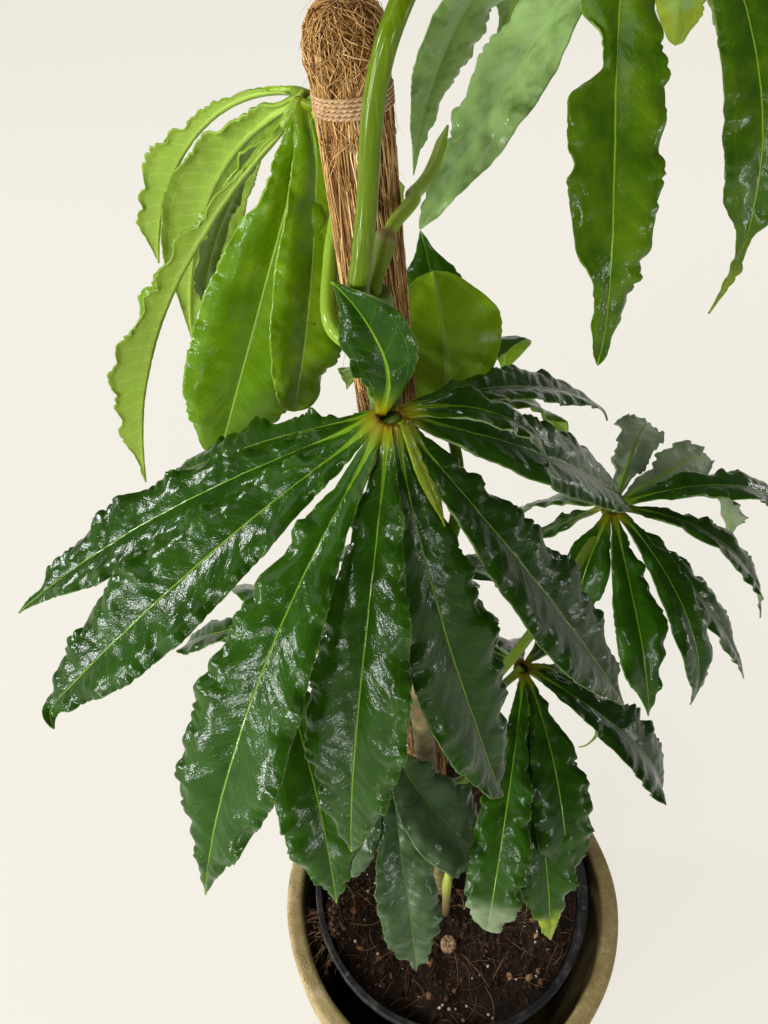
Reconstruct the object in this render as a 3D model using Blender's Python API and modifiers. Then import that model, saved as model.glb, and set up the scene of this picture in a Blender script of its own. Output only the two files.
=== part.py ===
"""Potted anthurium polyschistum: a climbing plant on a coir pole, in a nursery pot inside a planter.

Metres, +Z up. The origin is the middle of the planter's underside, and the plant's front faces -Y.
"""
import bpy
import bmesh
from math import cos, pi, radians, sin
from mathutils import Vector

# Driving dimensions of the pots
FIT = 0.0003                  # clearance between pieces that touch
PLANTER_HEIGHT = 0.252
PLANTER_RIM_RADIUS = 0.146
PLANTER_FOOT_RADIUS = 0.122
PLANTER_WALL = 0.0145
PLANTER_FLOOR = 0.012
PLANTER_SHOULDER = 0.72 * PLANTER_HEIGHT    # the wall flares up to here and then stands straight
PLANTER_EDGE = 0.004                        # chamfer round the rim
NURSERY_CENTRE = (0.0, 0.008)
NURSERY_HEIGHT = 0.250
NURSERY_RIM_RADIUS = 0.120
NURSERY_FOOT_RADIUS = 0.096
NURSERY_WALL = 0.0016
NURSERY_LIP = 0.004
NURSERY_LIP_DEPTH = 0.009
NURSERY_LIP_EDGE = 0.0008
DRAIN_HOLES = 6
DRAIN_HOLE_RADIUS = 0.006
DRAIN_CIRCLE = 0.066
SOIL_BELOW_RIM = 0.015
SOIL_LUMP = 0.003
SOIL_GAP = FIT + 0.0002       # to the nursery pot, whose facets cut its corners

# Driving dimensions of the pole and the stems
POLE_RADIUS = 0.0125
POLE_HEAD_RADIUS = 0.0134
POLE_FOOT = (0.004, 0.022, 0.060)
POLE_TOP = (-0.0525, 0.038, 0.923)
TIE_BELOW_TOP = 0.027
TIE_DEPTH = 0.0006            # how far the twine pulls the coir in
TWINE_RADIUS = 0.0011
TWINE_TURNS = 3
STEM_RADIUS = 0.0070
STEM_RING = 0.0006            # how far a node's ring stands out
RING_SPREAD = 0.007           # how far the ring runs up and down the stem
STEM_TO_POLE = 0.0006
STEM_TOP = 0.838
STEM_FOOT = 0.120
BARE_NODES = (0.310, 0.355, 0.505, 0.635, 0.750)    # stem nodes whose leaves have dropped
SHOOT_ROUTE = [Vector((-0.006, -0.016, 0.150)), Vector((-0.006, -0.016, 0.262)),
               Vector((-0.006, -0.012, 0.305)), Vector((-0.005, -0.007, 0.352))]
SHOOT_RADII = [0.0035, 0.0035, 0.0042, 0.0010]
STUB_ROUTE = [Vector((-0.006, -0.043, 0.170)), Vector((-0.006, -0.043, 0.257))]
STUB_RADIUS = 0.0065

# Driving dimensions of the leaves; the shares are of a leaflet's half width
BLADE_THICKNESS = 0.0008
BLADE_ROOT_EXTRA = 0.0008     # how much thicker each face is at the hub
BLADE_ROOT_HALF_WIDTH = 0.0012
SCALLOP = 0.07                # how far the margins swing in and out
WAVE = 0.10                   # how far the margins wave up and down
FOLD = 0.12                   # how far the two halves rise from the midrib
HUB_RADIUS = 0.0055
HUB_SQUASH = 0.8
LONG_LEAFLET = 0.128


def clear_scene():
    for thing in list(bpy.data.objects):
        bpy.data.objects.remove(thing)


def new_collection(name):
    collection = bpy.data.collections.new(name)
    bpy.context.scene.collection.children.link(collection)
    return collection


def new_material(name, colour, roughness):
    material = bpy.data.materials.new(name)
    material.use_nodes = True
    shader = material.node_tree.nodes["Principled BSDF"]
    shader.inputs["Base Color"].default_value = (*colour, 1.0)
    shader.inputs["Roughness"].default_value = roughness
    shader.inputs["Metallic"].default_value = 0.0
    return material


def add_object(name, data, collection, material=None):
    thing = bpy.data.objects.new(name, data)
    collection.objects.link(thing)
    if material is not None:
        data.materials.clear()
        data.materials.append(material)
    return thing


def mesh_from(bm, name, smooth=True):
    mesh = bpy.data.meshes.new(name)
    bm.to_mesh(mesh)
    bm.free()
    if smooth:
        mesh.shade_smooth()
    return mesh


def baked(thing, weld=True):
    """The object's shape with its modifiers, as a new mesh in world space."""
    bpy.context.view_layer.update()
    depsgraph = bpy.context.evaluated_depsgraph_get()
    mesh = bpy.data.meshes.new_from_object(thing.evaluated_get(depsgraph))
    mesh.transform(thing.matrix_world)
    if weld:
        bm = bmesh.new()
        bm.from_mesh(mesh)
        bmesh.ops.remove_doubles(bm, verts=bm.verts, dist=0.00002)
        bm.to_mesh(mesh)
        bm.free()
    return mesh


def turned(name, profile, sides, collection, centre=(0.0, 0.0, 0.0), closed=False):
    """A profile of (radius, height) points turned about the vertical through the centre."""
    bm = bmesh.new()
    points = [bm.verts.new((radius, 0.0, height)) for radius, height in profile]
    ends = points[1:] + points[:1] if closed else points[1:]
    for first, second in zip(points, ends):
        bm.edges.new((first, second))
    thing = add_object(name, mesh_from(bm, name, smooth=False), collection)
    thing.location = centre
    screw = thing.modifiers.new("turn", "SCREW")
    screw.steps = screw.render_steps = sides
    screw.use_merge_vertices = True
    screw.merge_threshold = 0.00001
    screw.use_smooth_shade = True
    return thing


def tube(name, points, radii, collection, bevel_resolution=2):
    """A round tube with filled ends along the points, as thick at each point as its radius says."""
    curve = bpy.data.curves.new(name, "CURVE")
    curve.dimensions = "3D"
    curve.bevel_depth = 1.0
    curve.bevel_resolution = bevel_resolution
    curve.use_fill_caps = True
    spline = curve.splines.new("POLY")
    spline.points.add(len(points) - 1)
    for point, place, radius in zip(spline.points, points, radii):
        point.co = (*place, 1.0)
        point.radius = radius
    thing = add_object(name, curve, collection)
    mesh = baked(thing)
    bpy.data.objects.remove(thing)
    bpy.data.curves.remove(curve)
    return add_object(name, mesh, collection)


def smooth_route(points, steps):
    """Points along a smooth curve through the given ones, by Catmull and Rom's rule."""
    ends = [points[0] * 2 - points[1]] + points + [points[-1] * 2 - points[-2]]
    route = []
    for before, start, end, after in zip(ends, ends[1:], ends[2:], ends[3:]):
        for step in range(steps):
            t = step / steps
            route.append(0.5 * (2 * start + (end - before) * t
                                + (2 * before - 5 * start + 4 * end - after) * t ** 2
                                + (3 * start - before - 3 * end + after) * t ** 3))
    return route + [points[-1]]


def joined(base, others, operation, solver="MANIFOLD"):
    """Add the others to the base, or cut them from it, and return the result as a clean mesh."""
    group = bpy.data.collections.new("boolean")
    bpy.context.scene.collection.children.link(group)
    for other in others:
        group.objects.link(other)
    boolean = base.modifiers.new("boolean", "BOOLEAN")
    boolean.operation = operation
    boolean.solver = solver
    boolean.operand_type = "COLLECTION"
    boolean.collection = group
    mesh = baked(base, weld=False)
    base.modifiers.remove(boolean)
    for other in others:
        bpy.data.objects.remove(other)
    bpy.data.collections.remove(group)
    return mesh


def keep_largest_body(mesh):
    """Drop the loose scraps and the sealed hollows that joining leaves."""
    bm = bmesh.new()
    bm.from_mesh(mesh)
    unseen = set(bm.verts)
    bodies = []
    while unseen:
        stack = [unseen.pop()]
        body = list(stack)
        while stack:
            for edge in stack.pop().link_edges:
                for vert in edge.verts:
                    if vert in unseen:
                        unseen.remove(vert)
                        stack.append(vert)
                        body.append(vert)
        bodies.append(body)
    bodies.sort(key=len, reverse=True)
    for body in bodies[1:]:
        bmesh.ops.delete(bm, geom=body, context="VERTS")
    bmesh.ops.triangulate(bm, faces=bm.faces)
    bm.to_mesh(mesh)
    bm.free()


# The pots and the soil

def make_planter(parts):
    foot = PLANTER_FOOT_RADIUS
    rim = PLANTER_RIM_RADIUS
    cove = 0.012              # rounding inside, where the wall meets the floor
    heel = 0.006              # chamfer round the underside
    belly = 0.001             # how far the wall bulges at its shoulder
    swell = (0.010, 0.030)    # the foot swells out by the first at the height of the second
    profile = [
        (0.0, PLANTER_FLOOR),
        (foot - PLANTER_WALL, PLANTER_FLOOR),
        (foot - PLANTER_WALL + swell[0], PLANTER_FLOOR + cove),
        (rim - PLANTER_WALL, PLANTER_SHOULDER),
        (rim - PLANTER_WALL, PLANTER_HEIGHT - PLANTER_EDGE),
        (rim - PLANTER_WALL + PLANTER_EDGE, PLANTER_HEIGHT),
        (rim - PLANTER_EDGE, PLANTER_HEIGHT),
        (rim, PLANTER_HEIGHT - PLANTER_EDGE),
        (rim + belly, PLANTER_SHOULDER),
        (foot + swell[0], swell[1]),
        (foot, heel),
        (foot - heel, 0.0),
        (0.0, 0.0),
    ]
    planter = turned("planter", profile, 40, parts)
    planter.data.materials.append(new_material("stoneware", (0.30, 0.22, 0.09), 0.65))


def nursery_inside(height):
    """Inside radius of the nursery pot at a height above its foot."""
    share = height / NURSERY_HEIGHT
    outside = NURSERY_FOOT_RADIUS + (NURSERY_RIM_RADIUS - NURSERY_LIP - NURSERY_FOOT_RADIUS) * share
    return outside - NURSERY_WALL


def make_nursery_pot(parts):
    top = NURSERY_HEIGHT
    under_lip = top - NURSERY_LIP_DEPTH
    profile = [
        (0.0, NURSERY_WALL),
        (nursery_inside(NURSERY_WALL), NURSERY_WALL),
        (nursery_inside(top), top),
        (NURSERY_RIM_RADIUS - NURSERY_LIP_EDGE, top),
        (NURSERY_RIM_RADIUS, top - NURSERY_LIP_EDGE),
        (NURSERY_RIM_RADIUS, under_lip),
        (nursery_inside(under_lip) + NURSERY_WALL, under_lip),
        (NURSERY_FOOT_RADIUS, 0.0),
        (0.0, 0.0),
    ]
    place = (*NURSERY_CENTRE, PLANTER_FLOOR + FIT)
    blank = turned("nursery_blank", profile, 40, parts, place)
    drills = []
    for hole in range(DRAIN_HOLES):
        angle = 2 * pi * hole / DRAIN_HOLES
        bm = bmesh.new()
        bmesh.ops.create_cone(bm, cap_ends=True, segments=10, radius1=DRAIN_HOLE_RADIUS,
                              radius2=DRAIN_HOLE_RADIUS, depth=0.02)
        drill = add_object("drill", mesh_from(bm, "drill"), parts)
        drill.location = Vector(place) + DRAIN_CIRCLE * Vector((cos(angle), sin(angle), 0.0))
        drills.append(drill)
    mesh = joined(blank, drills, "DIFFERENCE", "EXACT")
    bpy.data.objects.remove(blank)
    add_object("nursery_pot", mesh, parts, new_material("pot_plastic", (0.02, 0.02, 0.022), 0.45))


def soil_height(x, y):
    """Lumpy top of the soil: three crossing waves about its middle height."""
    wave = sin(61 * x + 23 * y + 1.3) + sin(37 * x - 71 * y + 0.4) + sin(97 * x + 89 * y)
    middle = PLANTER_FLOOR + FIT + NURSERY_HEIGHT - SOIL_BELOW_RIM
    return middle + SOIL_LUMP * wave / 2


def make_soil(parts, holes):
    foot = NURSERY_WALL + FIT
    top = NURSERY_HEIGHT - SOIL_BELOW_RIM
    level = PLANTER_FLOOR + FIT + top
    rings = 5
    radius = nursery_inside(top) - SOIL_GAP
    profile = [(radius * ring / rings, top) for ring in range(rings + 1)]
    profile += [(nursery_inside(foot) - SOIL_GAP, foot), (0.0, foot)]
    blank = turned("soil_blank", profile, 32, parts, (*NURSERY_CENTRE, PLANTER_FLOOR + FIT))
    mesh = baked(blank)
    bpy.data.objects.remove(blank)
    for vert in mesh.vertices:
        if vert.co.z > level - 0.001:
            out = (vert.co.xy - Vector(NURSERY_CENTRE)).length / radius
            calm = min(1.0, 3 * (1 - out))    # the lumps die out towards the pot's wall
            vert.co.z = level + (soil_height(vert.co.x, vert.co.y) - level) * calm
    lump = add_object("soil_lump", mesh, parts)
    mesh = joined(lump, holes, "DIFFERENCE")
    bpy.data.objects.remove(lump)
    keep_largest_body(mesh)
    add_object("soil", mesh, parts, new_material("potting_soil", (0.035, 0.022, 0.014), 0.95))


# The pole and the stems

def pole_point(height):
    """Where the pole's axis is at a height above the surface."""
    foot = Vector(POLE_FOOT)
    top = Vector(POLE_TOP)
    return foot + (top - foot) * ((height - foot.z) / (top.z - foot.z))


def stem_point(height):
    """The stem climbs the front of the pole, a hair away from it."""
    return pole_point(height) - Vector((0.0, POLE_RADIUS + STEM_RADIUS + STEM_RING + STEM_TO_POLE, 0.0))


def stand_on(thing, low, high):
    """Turn a piece made along +Z so that it runs from the low point towards the high one."""
    thing.rotation_mode = "QUATERNION"
    thing.rotation_quaternion = (high - low).to_track_quat("Z", "Y")
    thing.location = low


def make_pole(parts):
    foot = Vector(POLE_FOOT)
    top = Vector(POLE_TOP)
    length = (top - foot).length
    tie = length - TIE_BELOW_TOP
    neck = POLE_RADIUS - TIE_DEPTH
    profile = [
        (0.0, length),            # the head is a dome that bulges over the tie
        (0.0070, length - 0.0012),
        (0.0112, length - 0.0045),
        (POLE_HEAD_RADIUS, length - 0.0110),
        (POLE_HEAD_RADIUS, tie + 0.010),
        (neck, tie + 0.004),
        (neck, tie - 0.004),
        (POLE_RADIUS, tie - 0.014),
        (POLE_RADIUS, 0.0),
        (0.0, 0.0),
    ]
    pole = turned("coir_pole", profile, 20, parts)
    stand_on(pole, foot, top)
    pole.data.materials.append(new_material("coir", (0.33, 0.19, 0.08), 0.9))

    turn = 2 * TWINE_RADIUS
    inside = neck + FIT + 0.0002
    band = [(inside, tie - turn * TWINE_TURNS / 2)]
    band.append((inside, tie + turn * TWINE_TURNS / 2))
    for ridge in range(TWINE_TURNS):
        middle = tie + turn * (TWINE_TURNS / 2 - ridge - 0.5)
        band.append((inside + turn, middle + TWINE_RADIUS * 0.45))
        band.append((inside + turn, middle - TWINE_RADIUS * 0.45))
        if ridge < TWINE_TURNS - 1:
            band.append((inside + TWINE_RADIUS * 1.3, middle - TWINE_RADIUS))
    twine = turned("pole_twine", band, 20, parts, closed=True)
    stand_on(twine, foot, top)
    twine.data.materials.append(new_material("jute", (0.50, 0.36, 0.20), 0.9))


def make_stem(parts):
    """The climbing stem, with a ring at each of its nodes."""
    nodes = [leaf["node"] for leaf in LEAVES.values()] + [YOUNG_LEAF["node"], *BARE_NODES]
    nodes = [node for node in nodes if node < STEM_TOP - RING_SPREAD]
    heights = [STEM_FOOT, STEM_TOP]
    for node in nodes:
        heights += [node - RING_SPREAD, node, node + RING_SPREAD]
    heights = sorted(height for height in heights if height <= STEM_TOP)
    radii = [STEM_RADIUS + (STEM_RING if height in nodes else 0.0) for height in heights]
    stem = tube("main_stem", [stem_point(height) for height in heights], radii, parts)
    stem.data.materials.append(new_material("stem", (0.16, 0.13, 0.04), 0.6))


# The leaves. A leaflet leaves its leaf's hub at a turn about the vertical (0 is +X and 90 is +Y),
# swings by bend on its way, and goes from its rise at the hub to its droop at the tip, in degrees.
# Its length and width are in millimetres. A roll lowers its left edge, seen from the hub.

def leaflet(turn, bend, rise, droop, length, width, roll=0):
    return {"turn": turn, "bend": bend, "rise": rise, "droop": droop,
            "length": length * 0.001, "width": width * 0.001, "roll": roll}


def fan(first, last, count, rise, droop, length, width):
    """Leaflets spread evenly by turn, by turns a little longer and higher or shorter and lower."""
    spread = []
    for number in range(count):
        turn = first + (last - first) * number / max(1, count - 1)
        sway = 1 if number % 2 else -1
        spread.append(leaflet(turn, 8 * sway, rise + 6 * sway, droop + 5 * sway, length + 10 * sway, width))
    return spread


LEAVES = {
    "leaf_centre": {
        "colour": (0.020, 0.075, 0.012),
        "node": 0.700, "petiole": 0.0030, "hub": (-0.042, -0.005, 0.797),
        "route": [(-0.031, -0.006, 0.740), (-0.034, -0.010, 0.772)],
        "leaflets": [
            leaflet(46, -13, -12, -45, 183, 25, -10),
            leaflet(16, 1, 7, -74, 94, 14, -12),
            leaflet(20, 16, -27, -53, 195, 40, -24),
            leaflet(-13, 6, -50, -63, 218, 43, -20),
            leaflet(-66, 30, -64, -71, 212, 48),
            leaflet(-106, -4, -50, -83, 224, 44),
            leaflet(-130, -7, -34, -76, 250, 46, 12),
            leaflet(-169, 0, -32, -48, 232, 42, 30),
            leaflet(175, 5, -25, -41, 226, 32, 25),
            leaflet(144, 8, -30, -40, 188, 26, 17),
            leaflet(-40, 5, -46, -74, 52, 6, 8),
            leaflet(154, 11, 100, 40, 60, 24, 76),
        ]},
    "leaf_left": {
        "colour": (0.130, 0.260, 0.020),
        "node": 0.812, "petiole": 0.0028, "hub": (-0.0660, 0.085, 0.881),
        "route": [(-0.0625, 0.021, 0.821), (-0.0625, 0.046, 0.836), (-0.0580, 0.066, 0.858)],
        "leaflets": [
            leaflet(128, 27, -3, -76, 183, 28),
            leaflet(177, -15, -39, -81, 250, 32),
            leaflet(134, 6, -21, -83, 226, 38, -50),
            leaflet(183, -12, -69, -69, 196, 54, 96),
            leaflet(-172, 4, -86, -75, 149, 36, 105),
            leaflet(150, 8, -34, -80, 150, 26),
            leaflet(96, 0, -20, -85, 165, 32),
            leaflet(47, 4, -38, -83, 92, 28),
        ]},
    "leaf_top": {
        "colour": (0.060, 0.190, 0.020),
        "node": 0.820, "petiole": 0.0031, "hub": (0.070, 0.159, 0.942),
        "route": [(-0.0516, 0.0050, 0.842), (-0.0500, 0.0040, 0.857), (-0.0475, 0.0060, 0.874),
                  (-0.0440, 0.0056, 0.905), (-0.0357, 0.0084, 0.928), (-0.015, 0.032, 0.953), (0.020, 0.085, 0.972),
                  (0.052, 0.135, 0.964)],
        "leaflets": [
            leaflet(-141, -10, -43, -49, 166, 37),
            leaflet(126, 1, -16, -82, 242, 34, 165),
            leaflet(104, 4, -9, -67, 184, 32),
            leaflet(-118, 52, -22, -90, 212, 37),
            leaflet(-40, 3, -31, -105, 208, 38, -35),
            leaflet(64, -8, -4, -69, 181, 38),
        ] + fan(-12, 38, 3, -10, -80, 190, 34)},
    "leaf_right": {
        "colour": (0.018, 0.060, 0.012),
        "node": 0.560, "petiole": 0.0028, "hub": (0.087, 0.078, 0.655),
        "route": [(0.005, 0.004, 0.582), (0.045, 0.030, 0.622), (0.075, 0.064, 0.646)],
        "leaflets": [
            leaflet(13, 0, 18, -59, 164, 26),
            leaflet(33, 14, 13, -48, 136, 26, 150),
            leaflet(61, 0, 22, -50, 135, 28, 165),
            leaflet(25, 3, 8, -84, 178, 26),
            leaflet(-3, -16, -3, -75, 154, 25),
            leaflet(-29, 11, -30, -66, 165, 28),
            leaflet(-56, 3, -5, -92, 147, 26),
            leaflet(-87, 28, -25, -74, 133, 30),
            leaflet(-123, 7, -13, -100, 75, 26),
            leaflet(150, -18, -40, -79, 124, 28),
            leaflet(116, -6, -29, -65, 140, 26),
            leaflet(88, 0, -10, -70, 140, 26),
        ]},
    "leaf_folded": {
        "colour": (0.090, 0.210, 0.020),
        "node": 0.690, "petiole": 0.0028, "hub": (-0.0145, 0.0545, 0.7505),
        "route": [(-0.016, 0.012, 0.705), (-0.010, 0.034, 0.730)],
        "leaflets": [
            leaflet(-74, 0, 84, 138, 68, 54),
            leaflet(55, 16, 38, -85, 119, 30),
            leaflet(115, -3, -2, -57, 158, 28),
            leaflet(85, 0, 10, -70, 150, 30),
            leaflet(30, 0, 0, -80, 120, 26),
            leaflet(92, 8, 58, 19, 92, 26),
        ]},
    "leaf_low_right": {
        "colour": (0.022, 0.075, 0.018),
        "node": 0.440, "petiole": 0.0028, "hub": (0.040, 0.040, 0.548),
        "route": [(0.004, 0.000, 0.480), (0.012, 0.018, 0.515), (0.0228, 0.030, 0.536)],
        "leaflets": [
            leaflet(-100, -8, -3, -84, 188, 36),
            leaflet(-73, -5, -12, -89, 165, 38),
            leaflet(-25, 9, -11, -75, 160, 48),
            leaflet(-87, 12, -27, -75, 199, 40),
            leaflet(15, -77, -13, -118, 147, 9),
        ] + fan(10, 130, 4, -20, -80, 150, 32)},
    "leaf_low_middle": {
        "colour": (0.022, 0.080, 0.018),
        "node": 0.455, "petiole": 0.0028, "hub": (-0.049, -0.002, 0.536),
        "route": [(-0.030, -0.012, 0.482), (-0.046, -0.013, 0.515)],
        "leaflets": [
            leaflet(-86, 8, -26, -88, 180, 38),
            leaflet(-62, 44, -22, -52, 94, 52),
            leaflet(-158, -7, -23, -95, 120, 38),
            leaflet(-120, -5, -20, -92, 112, 32),
            leaflet(170, 5, -25, -85, 120, 32),
        ]},
    "leaf_low_left": {
        "colour": (0.020, 0.075, 0.014),
        "node": 0.580, "petiole": 0.0028, "hub": (-0.122, 0.040, 0.604),
        "route": [(-0.055, 0.008, 0.590), (-0.090, 0.025, 0.603)],
        "leaflets": [
            leaflet(-62, -26, -7, -83, 188, 46),
            leaflet(164, -21, -24, -58, 97, 26),
            leaflet(-97, 0, -8, -100, 145, 34),
            leaflet(-128, 0, -20, -85, 125, 28),
        ] + fan(130, 70, 3, -20, -80, 130, 32)},
    "leaf_back": {
        "colour": (0.020, 0.075, 0.014),
        "node": 0.400, "petiole": 0.0028, "hub": (-0.030, 0.150, 0.520),
        "route": [(-0.036, 0.010, 0.418), (-0.052, 0.045, 0.450), (-0.045, 0.100, 0.495)],
        "leaflets": fan(-10, 190, 8, -20, -80, 160, 36)},
}
YOUNG_LEAF = {
    "node": 0.833, "petiole": 0.0024,
    "route": [(-0.0462, 0.0130, 0.844), (-0.0430, 0.0150, 0.854), (-0.0388, 0.0183, 0.8612),
              (-0.0320, 0.0320, 0.863), (-0.0305, 0.0500, 0.857), (-0.0252, 0.0690, 0.854),
              (-0.0192, 0.0870, 0.855), (-0.0132, 0.1040, 0.862)],
}


def half_width(along):
    """Share of a leaflet's half width: narrow at the hub, widest past the middle, drawn out to a tip."""
    return max(0.0, sin(pi * along ** 1.35))


def add_leaflet(bm, hub, leaf, rings):
    """Loft a waved blade: three points across on each face, which are triangles alike on both faces."""
    step = leaf["length"] / rings
    place = Vector(hub)
    sections = []
    for ring in range(rings + 1):
        along = ring / rings
        turn = radians(leaf["turn"] + leaf["bend"] * along)
        pitch = radians(leaf["rise"] + (leaf["droop"] - leaf["rise"]) * along)
        forward = Vector((cos(pitch) * cos(turn), cos(pitch) * sin(turn), sin(pitch)))
        level = Vector((-sin(turn), cos(turn), 0.0))
        roll = radians(leaf["roll"])
        side = level * cos(roll) - forward.cross(level) * sin(roll)
        up = forward.cross(side)
        if ring:
            place = place + (forward + before).normalized() * step
        before = forward
        sway = 1 if ring % 2 else -1
        half = leaf["width"] / 2 * half_width(along)
        left = half * (1 + SCALLOP * sway) + BLADE_ROOT_HALF_WIDTH
        right = half * (1 - SCALLOP * sway) + BLADE_ROOT_HALF_WIDTH
        fold = FOLD * half
        wave = WAVE * half * sway
        across = [place + side * left + up * (fold + wave), place, place - side * right + up * (fold - wave)]
        thick = up * (BLADE_THICKNESS / 2 + BLADE_ROOT_EXTRA * (1 - along) ** 3)
        sections.append([bm.verts.new(point + thick) for point in across]
                        + [bm.verts.new(point - thick) for point in reversed(across)])
    for ring, (first, second) in enumerate(zip(sections, sections[1:])):
        for corner in range(6):
            a, b = first[corner], first[(corner + 1) % 6]
            c, d = second[(corner + 1) % 6], second[corner]
            if (corner in (0, 3)) == bool(ring % 2):
                bm.faces.new((a, b, c))
                bm.faces.new((a, c, d))
            else:
                bm.faces.new((a, b, d))
                bm.faces.new((b, c, d))
    for end in (sections[0][::-1], sections[-1]):
        bm.faces.new((end[0], end[1], end[4], end[5]))
        bm.faces.new((end[1], end[2], end[3], end[4]))


def make_leaf(name, leaf, parts):
    """One leaf: its petiole, its hub and its leaflets, joined in one solid."""
    hub = Vector(leaf["hub"])
    start = stem_point(leaf["node"])
    route = smooth_route([start] + [Vector(point) for point in leaf["route"]] + [hub], 2)
    count = len(route)
    radii = [leaf["petiole"] * (1.25 - 0.35 * number / (count - 1)) for number in range(count)]
    petiole = tube(name + "_petiole", route, radii, parts)
    pieces = []
    for blade in leaf["leaflets"]:
        bm = bmesh.new()
        add_leaflet(bm, hub, blade, 9 if blade["length"] > LONG_LEAFLET else 7)
        bmesh.ops.recalc_face_normals(bm, faces=bm.faces)
        pieces.append(add_object("leaflet", mesh_from(bm, "leaflet"), parts))
    bm = bmesh.new()
    bmesh.ops.create_uvsphere(bm, u_segments=8, v_segments=5, radius=HUB_RADIUS)
    for vert in bm.verts:
        vert.co.z *= HUB_SQUASH
        vert.co += hub
    pieces.append(add_object("hub", mesh_from(bm, "hub"), parts))
    mesh = joined(petiole, pieces, "UNION")
    bpy.data.objects.remove(petiole)
    mesh.materials.clear()
    trimmed(name, mesh, leaf["node"], parts, new_material(name, leaf["colour"], 0.35))


def trimmed(name, mesh, node, parts, material):
    """Cut the foot of a petiole so that it sits on the outside of the stem."""
    whole = add_object(name + "_whole", mesh, parts)
    reach = 0.03              # how far the cut runs up and down the stem
    low = node - reach
    high = min(node + reach, STEM_TOP) + FIT
    cutter = tube("stem_cutter", [stem_point(height) for height in (low, node, high)],
                  [STEM_RADIUS + STEM_RING + FIT * 1.2] * 3, parts, 4)
    mesh = joined(whole, [cutter], "DIFFERENCE")
    bpy.data.objects.remove(whole)
    keep_largest_body(mesh)
    add_object(name, mesh, parts, material)


def make_young_leaf(parts):
    """A sheath that widens up to its open end, the petiole that comes out of it and a rolled blade."""
    start = stem_point(YOUNG_LEAF["node"])
    route = smooth_route([start] + [Vector(point) for point in YOUNG_LEAF["route"]], 2)
    count = len(route)
    sheath_width = 0.0018
    sheath_end = 0.33
    rolled_width = 0.0005
    radii = []
    for number in range(count):
        along = number / (count - 1)
        sheath = sheath_width * (0.4 + 0.6 * along / sheath_end) if along < sheath_end else 0.0
        rolled = rolled_width * sin(pi * max(0.0, along - sheath_end) / (1 - sheath_end))
        tip = min(1.0, 12 * (1 - along) + 0.25)
        radii.append((YOUNG_LEAF["petiole"] + sheath + rolled) * tip)
    whole = tube("leaf_young_whole", route, radii, parts)
    mesh = whole.data
    bpy.data.objects.remove(whole)
    material = new_material("young_leaf", (0.16, 0.20, 0.03), 0.5)
    trimmed("leaf_young", mesh, YOUNG_LEAF["node"], parts, material)


def make_shoot_and_stub(parts):
    shoot = tube("new_shoot", SHOOT_ROUTE, SHOOT_RADII, parts)
    shoot.data.materials.append(new_material("shoot", (0.30, 0.36, 0.05), 0.5))
    stub = tube("cut_stub", STUB_ROUTE, [STUB_RADIUS] * 2, parts)
    stub.data.materials.append(new_material("cut_wood", (0.45, 0.30, 0.16), 0.8))


def stem_holes(parts):
    """Cutters for the holes that the pole, the stem, the shoot and the stub stand in."""
    above_soil = 0.300
    shoot_top = Vector((*SHOOT_ROUTE[0].xy, above_soil))
    stub_top = Vector((*STUB_ROUTE[0].xy, above_soil))
    runs = [
        ([pole_point(POLE_FOOT[2] - FIT), pole_point(above_soil)], POLE_RADIUS, 8),
        ([stem_point(STEM_FOOT - FIT), stem_point(above_soil)], STEM_RADIUS + STEM_RING, 4),
        ([SHOOT_ROUTE[0] - Vector((0.0, 0.0, FIT)), shoot_top], SHOOT_RADII[0] + 0.0001, 4),
        ([STUB_ROUTE[0] - Vector((0.0, 0.0, FIT)), stub_top], STUB_RADIUS + 0.0001, 4),
    ]
    return [tube("hole", ends, [radius + FIT * 1.5] * 2, parts, sides) for ends, radius, sides in runs]


def main():
    clear_scene()
    parts = new_collection("potted_anthurium_polyschistum")
    make_planter(parts)
    make_nursery_pot(parts)
    make_pole(parts)
    make_stem(parts)
    make_shoot_and_stub(parts)
    make_soil(parts, stem_holes(parts))
    for name, leaf in LEAVES.items():
        make_leaf(name, leaf, parts)
    make_young_leaf(parts)


main()
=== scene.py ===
# Looks of a potted anthurium polyschistum: leaves, stems, coir pole, soil and pots
from itertools import combinations

import bpy
import numpy as np
from mathutils import Matrix, Vector
from numpy import arctan2, array, concatenate, cos, exp, hypot, linspace, pi, sin, stack


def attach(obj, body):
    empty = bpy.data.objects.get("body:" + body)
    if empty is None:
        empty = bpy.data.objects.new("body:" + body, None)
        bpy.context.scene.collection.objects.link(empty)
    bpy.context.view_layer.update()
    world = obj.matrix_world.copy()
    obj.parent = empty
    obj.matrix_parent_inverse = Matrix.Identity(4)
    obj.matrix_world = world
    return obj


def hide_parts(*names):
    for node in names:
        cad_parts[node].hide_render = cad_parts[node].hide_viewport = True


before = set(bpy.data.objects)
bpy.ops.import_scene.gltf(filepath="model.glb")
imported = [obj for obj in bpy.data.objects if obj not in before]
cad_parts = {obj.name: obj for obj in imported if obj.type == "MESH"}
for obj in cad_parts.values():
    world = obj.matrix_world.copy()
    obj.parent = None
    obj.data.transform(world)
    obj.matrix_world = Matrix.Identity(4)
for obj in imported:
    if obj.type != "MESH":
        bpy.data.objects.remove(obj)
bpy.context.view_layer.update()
print("frame loaded:", len(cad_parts), "nodes")


def addObject(name, data):
    made = bpy.data.objects.new(name, data)
    bpy.context.scene.collection.objects.link(made)
    return made


# Camera: a phone held above the plant's front and tipped down
view = {
    "place": (-0.046, -0.232, 0.981), "pitch": 46.0, "roll": -2.3, "lens": 27.04, "sensor": 36.0,
    "nearest": 0.01,
}


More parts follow.
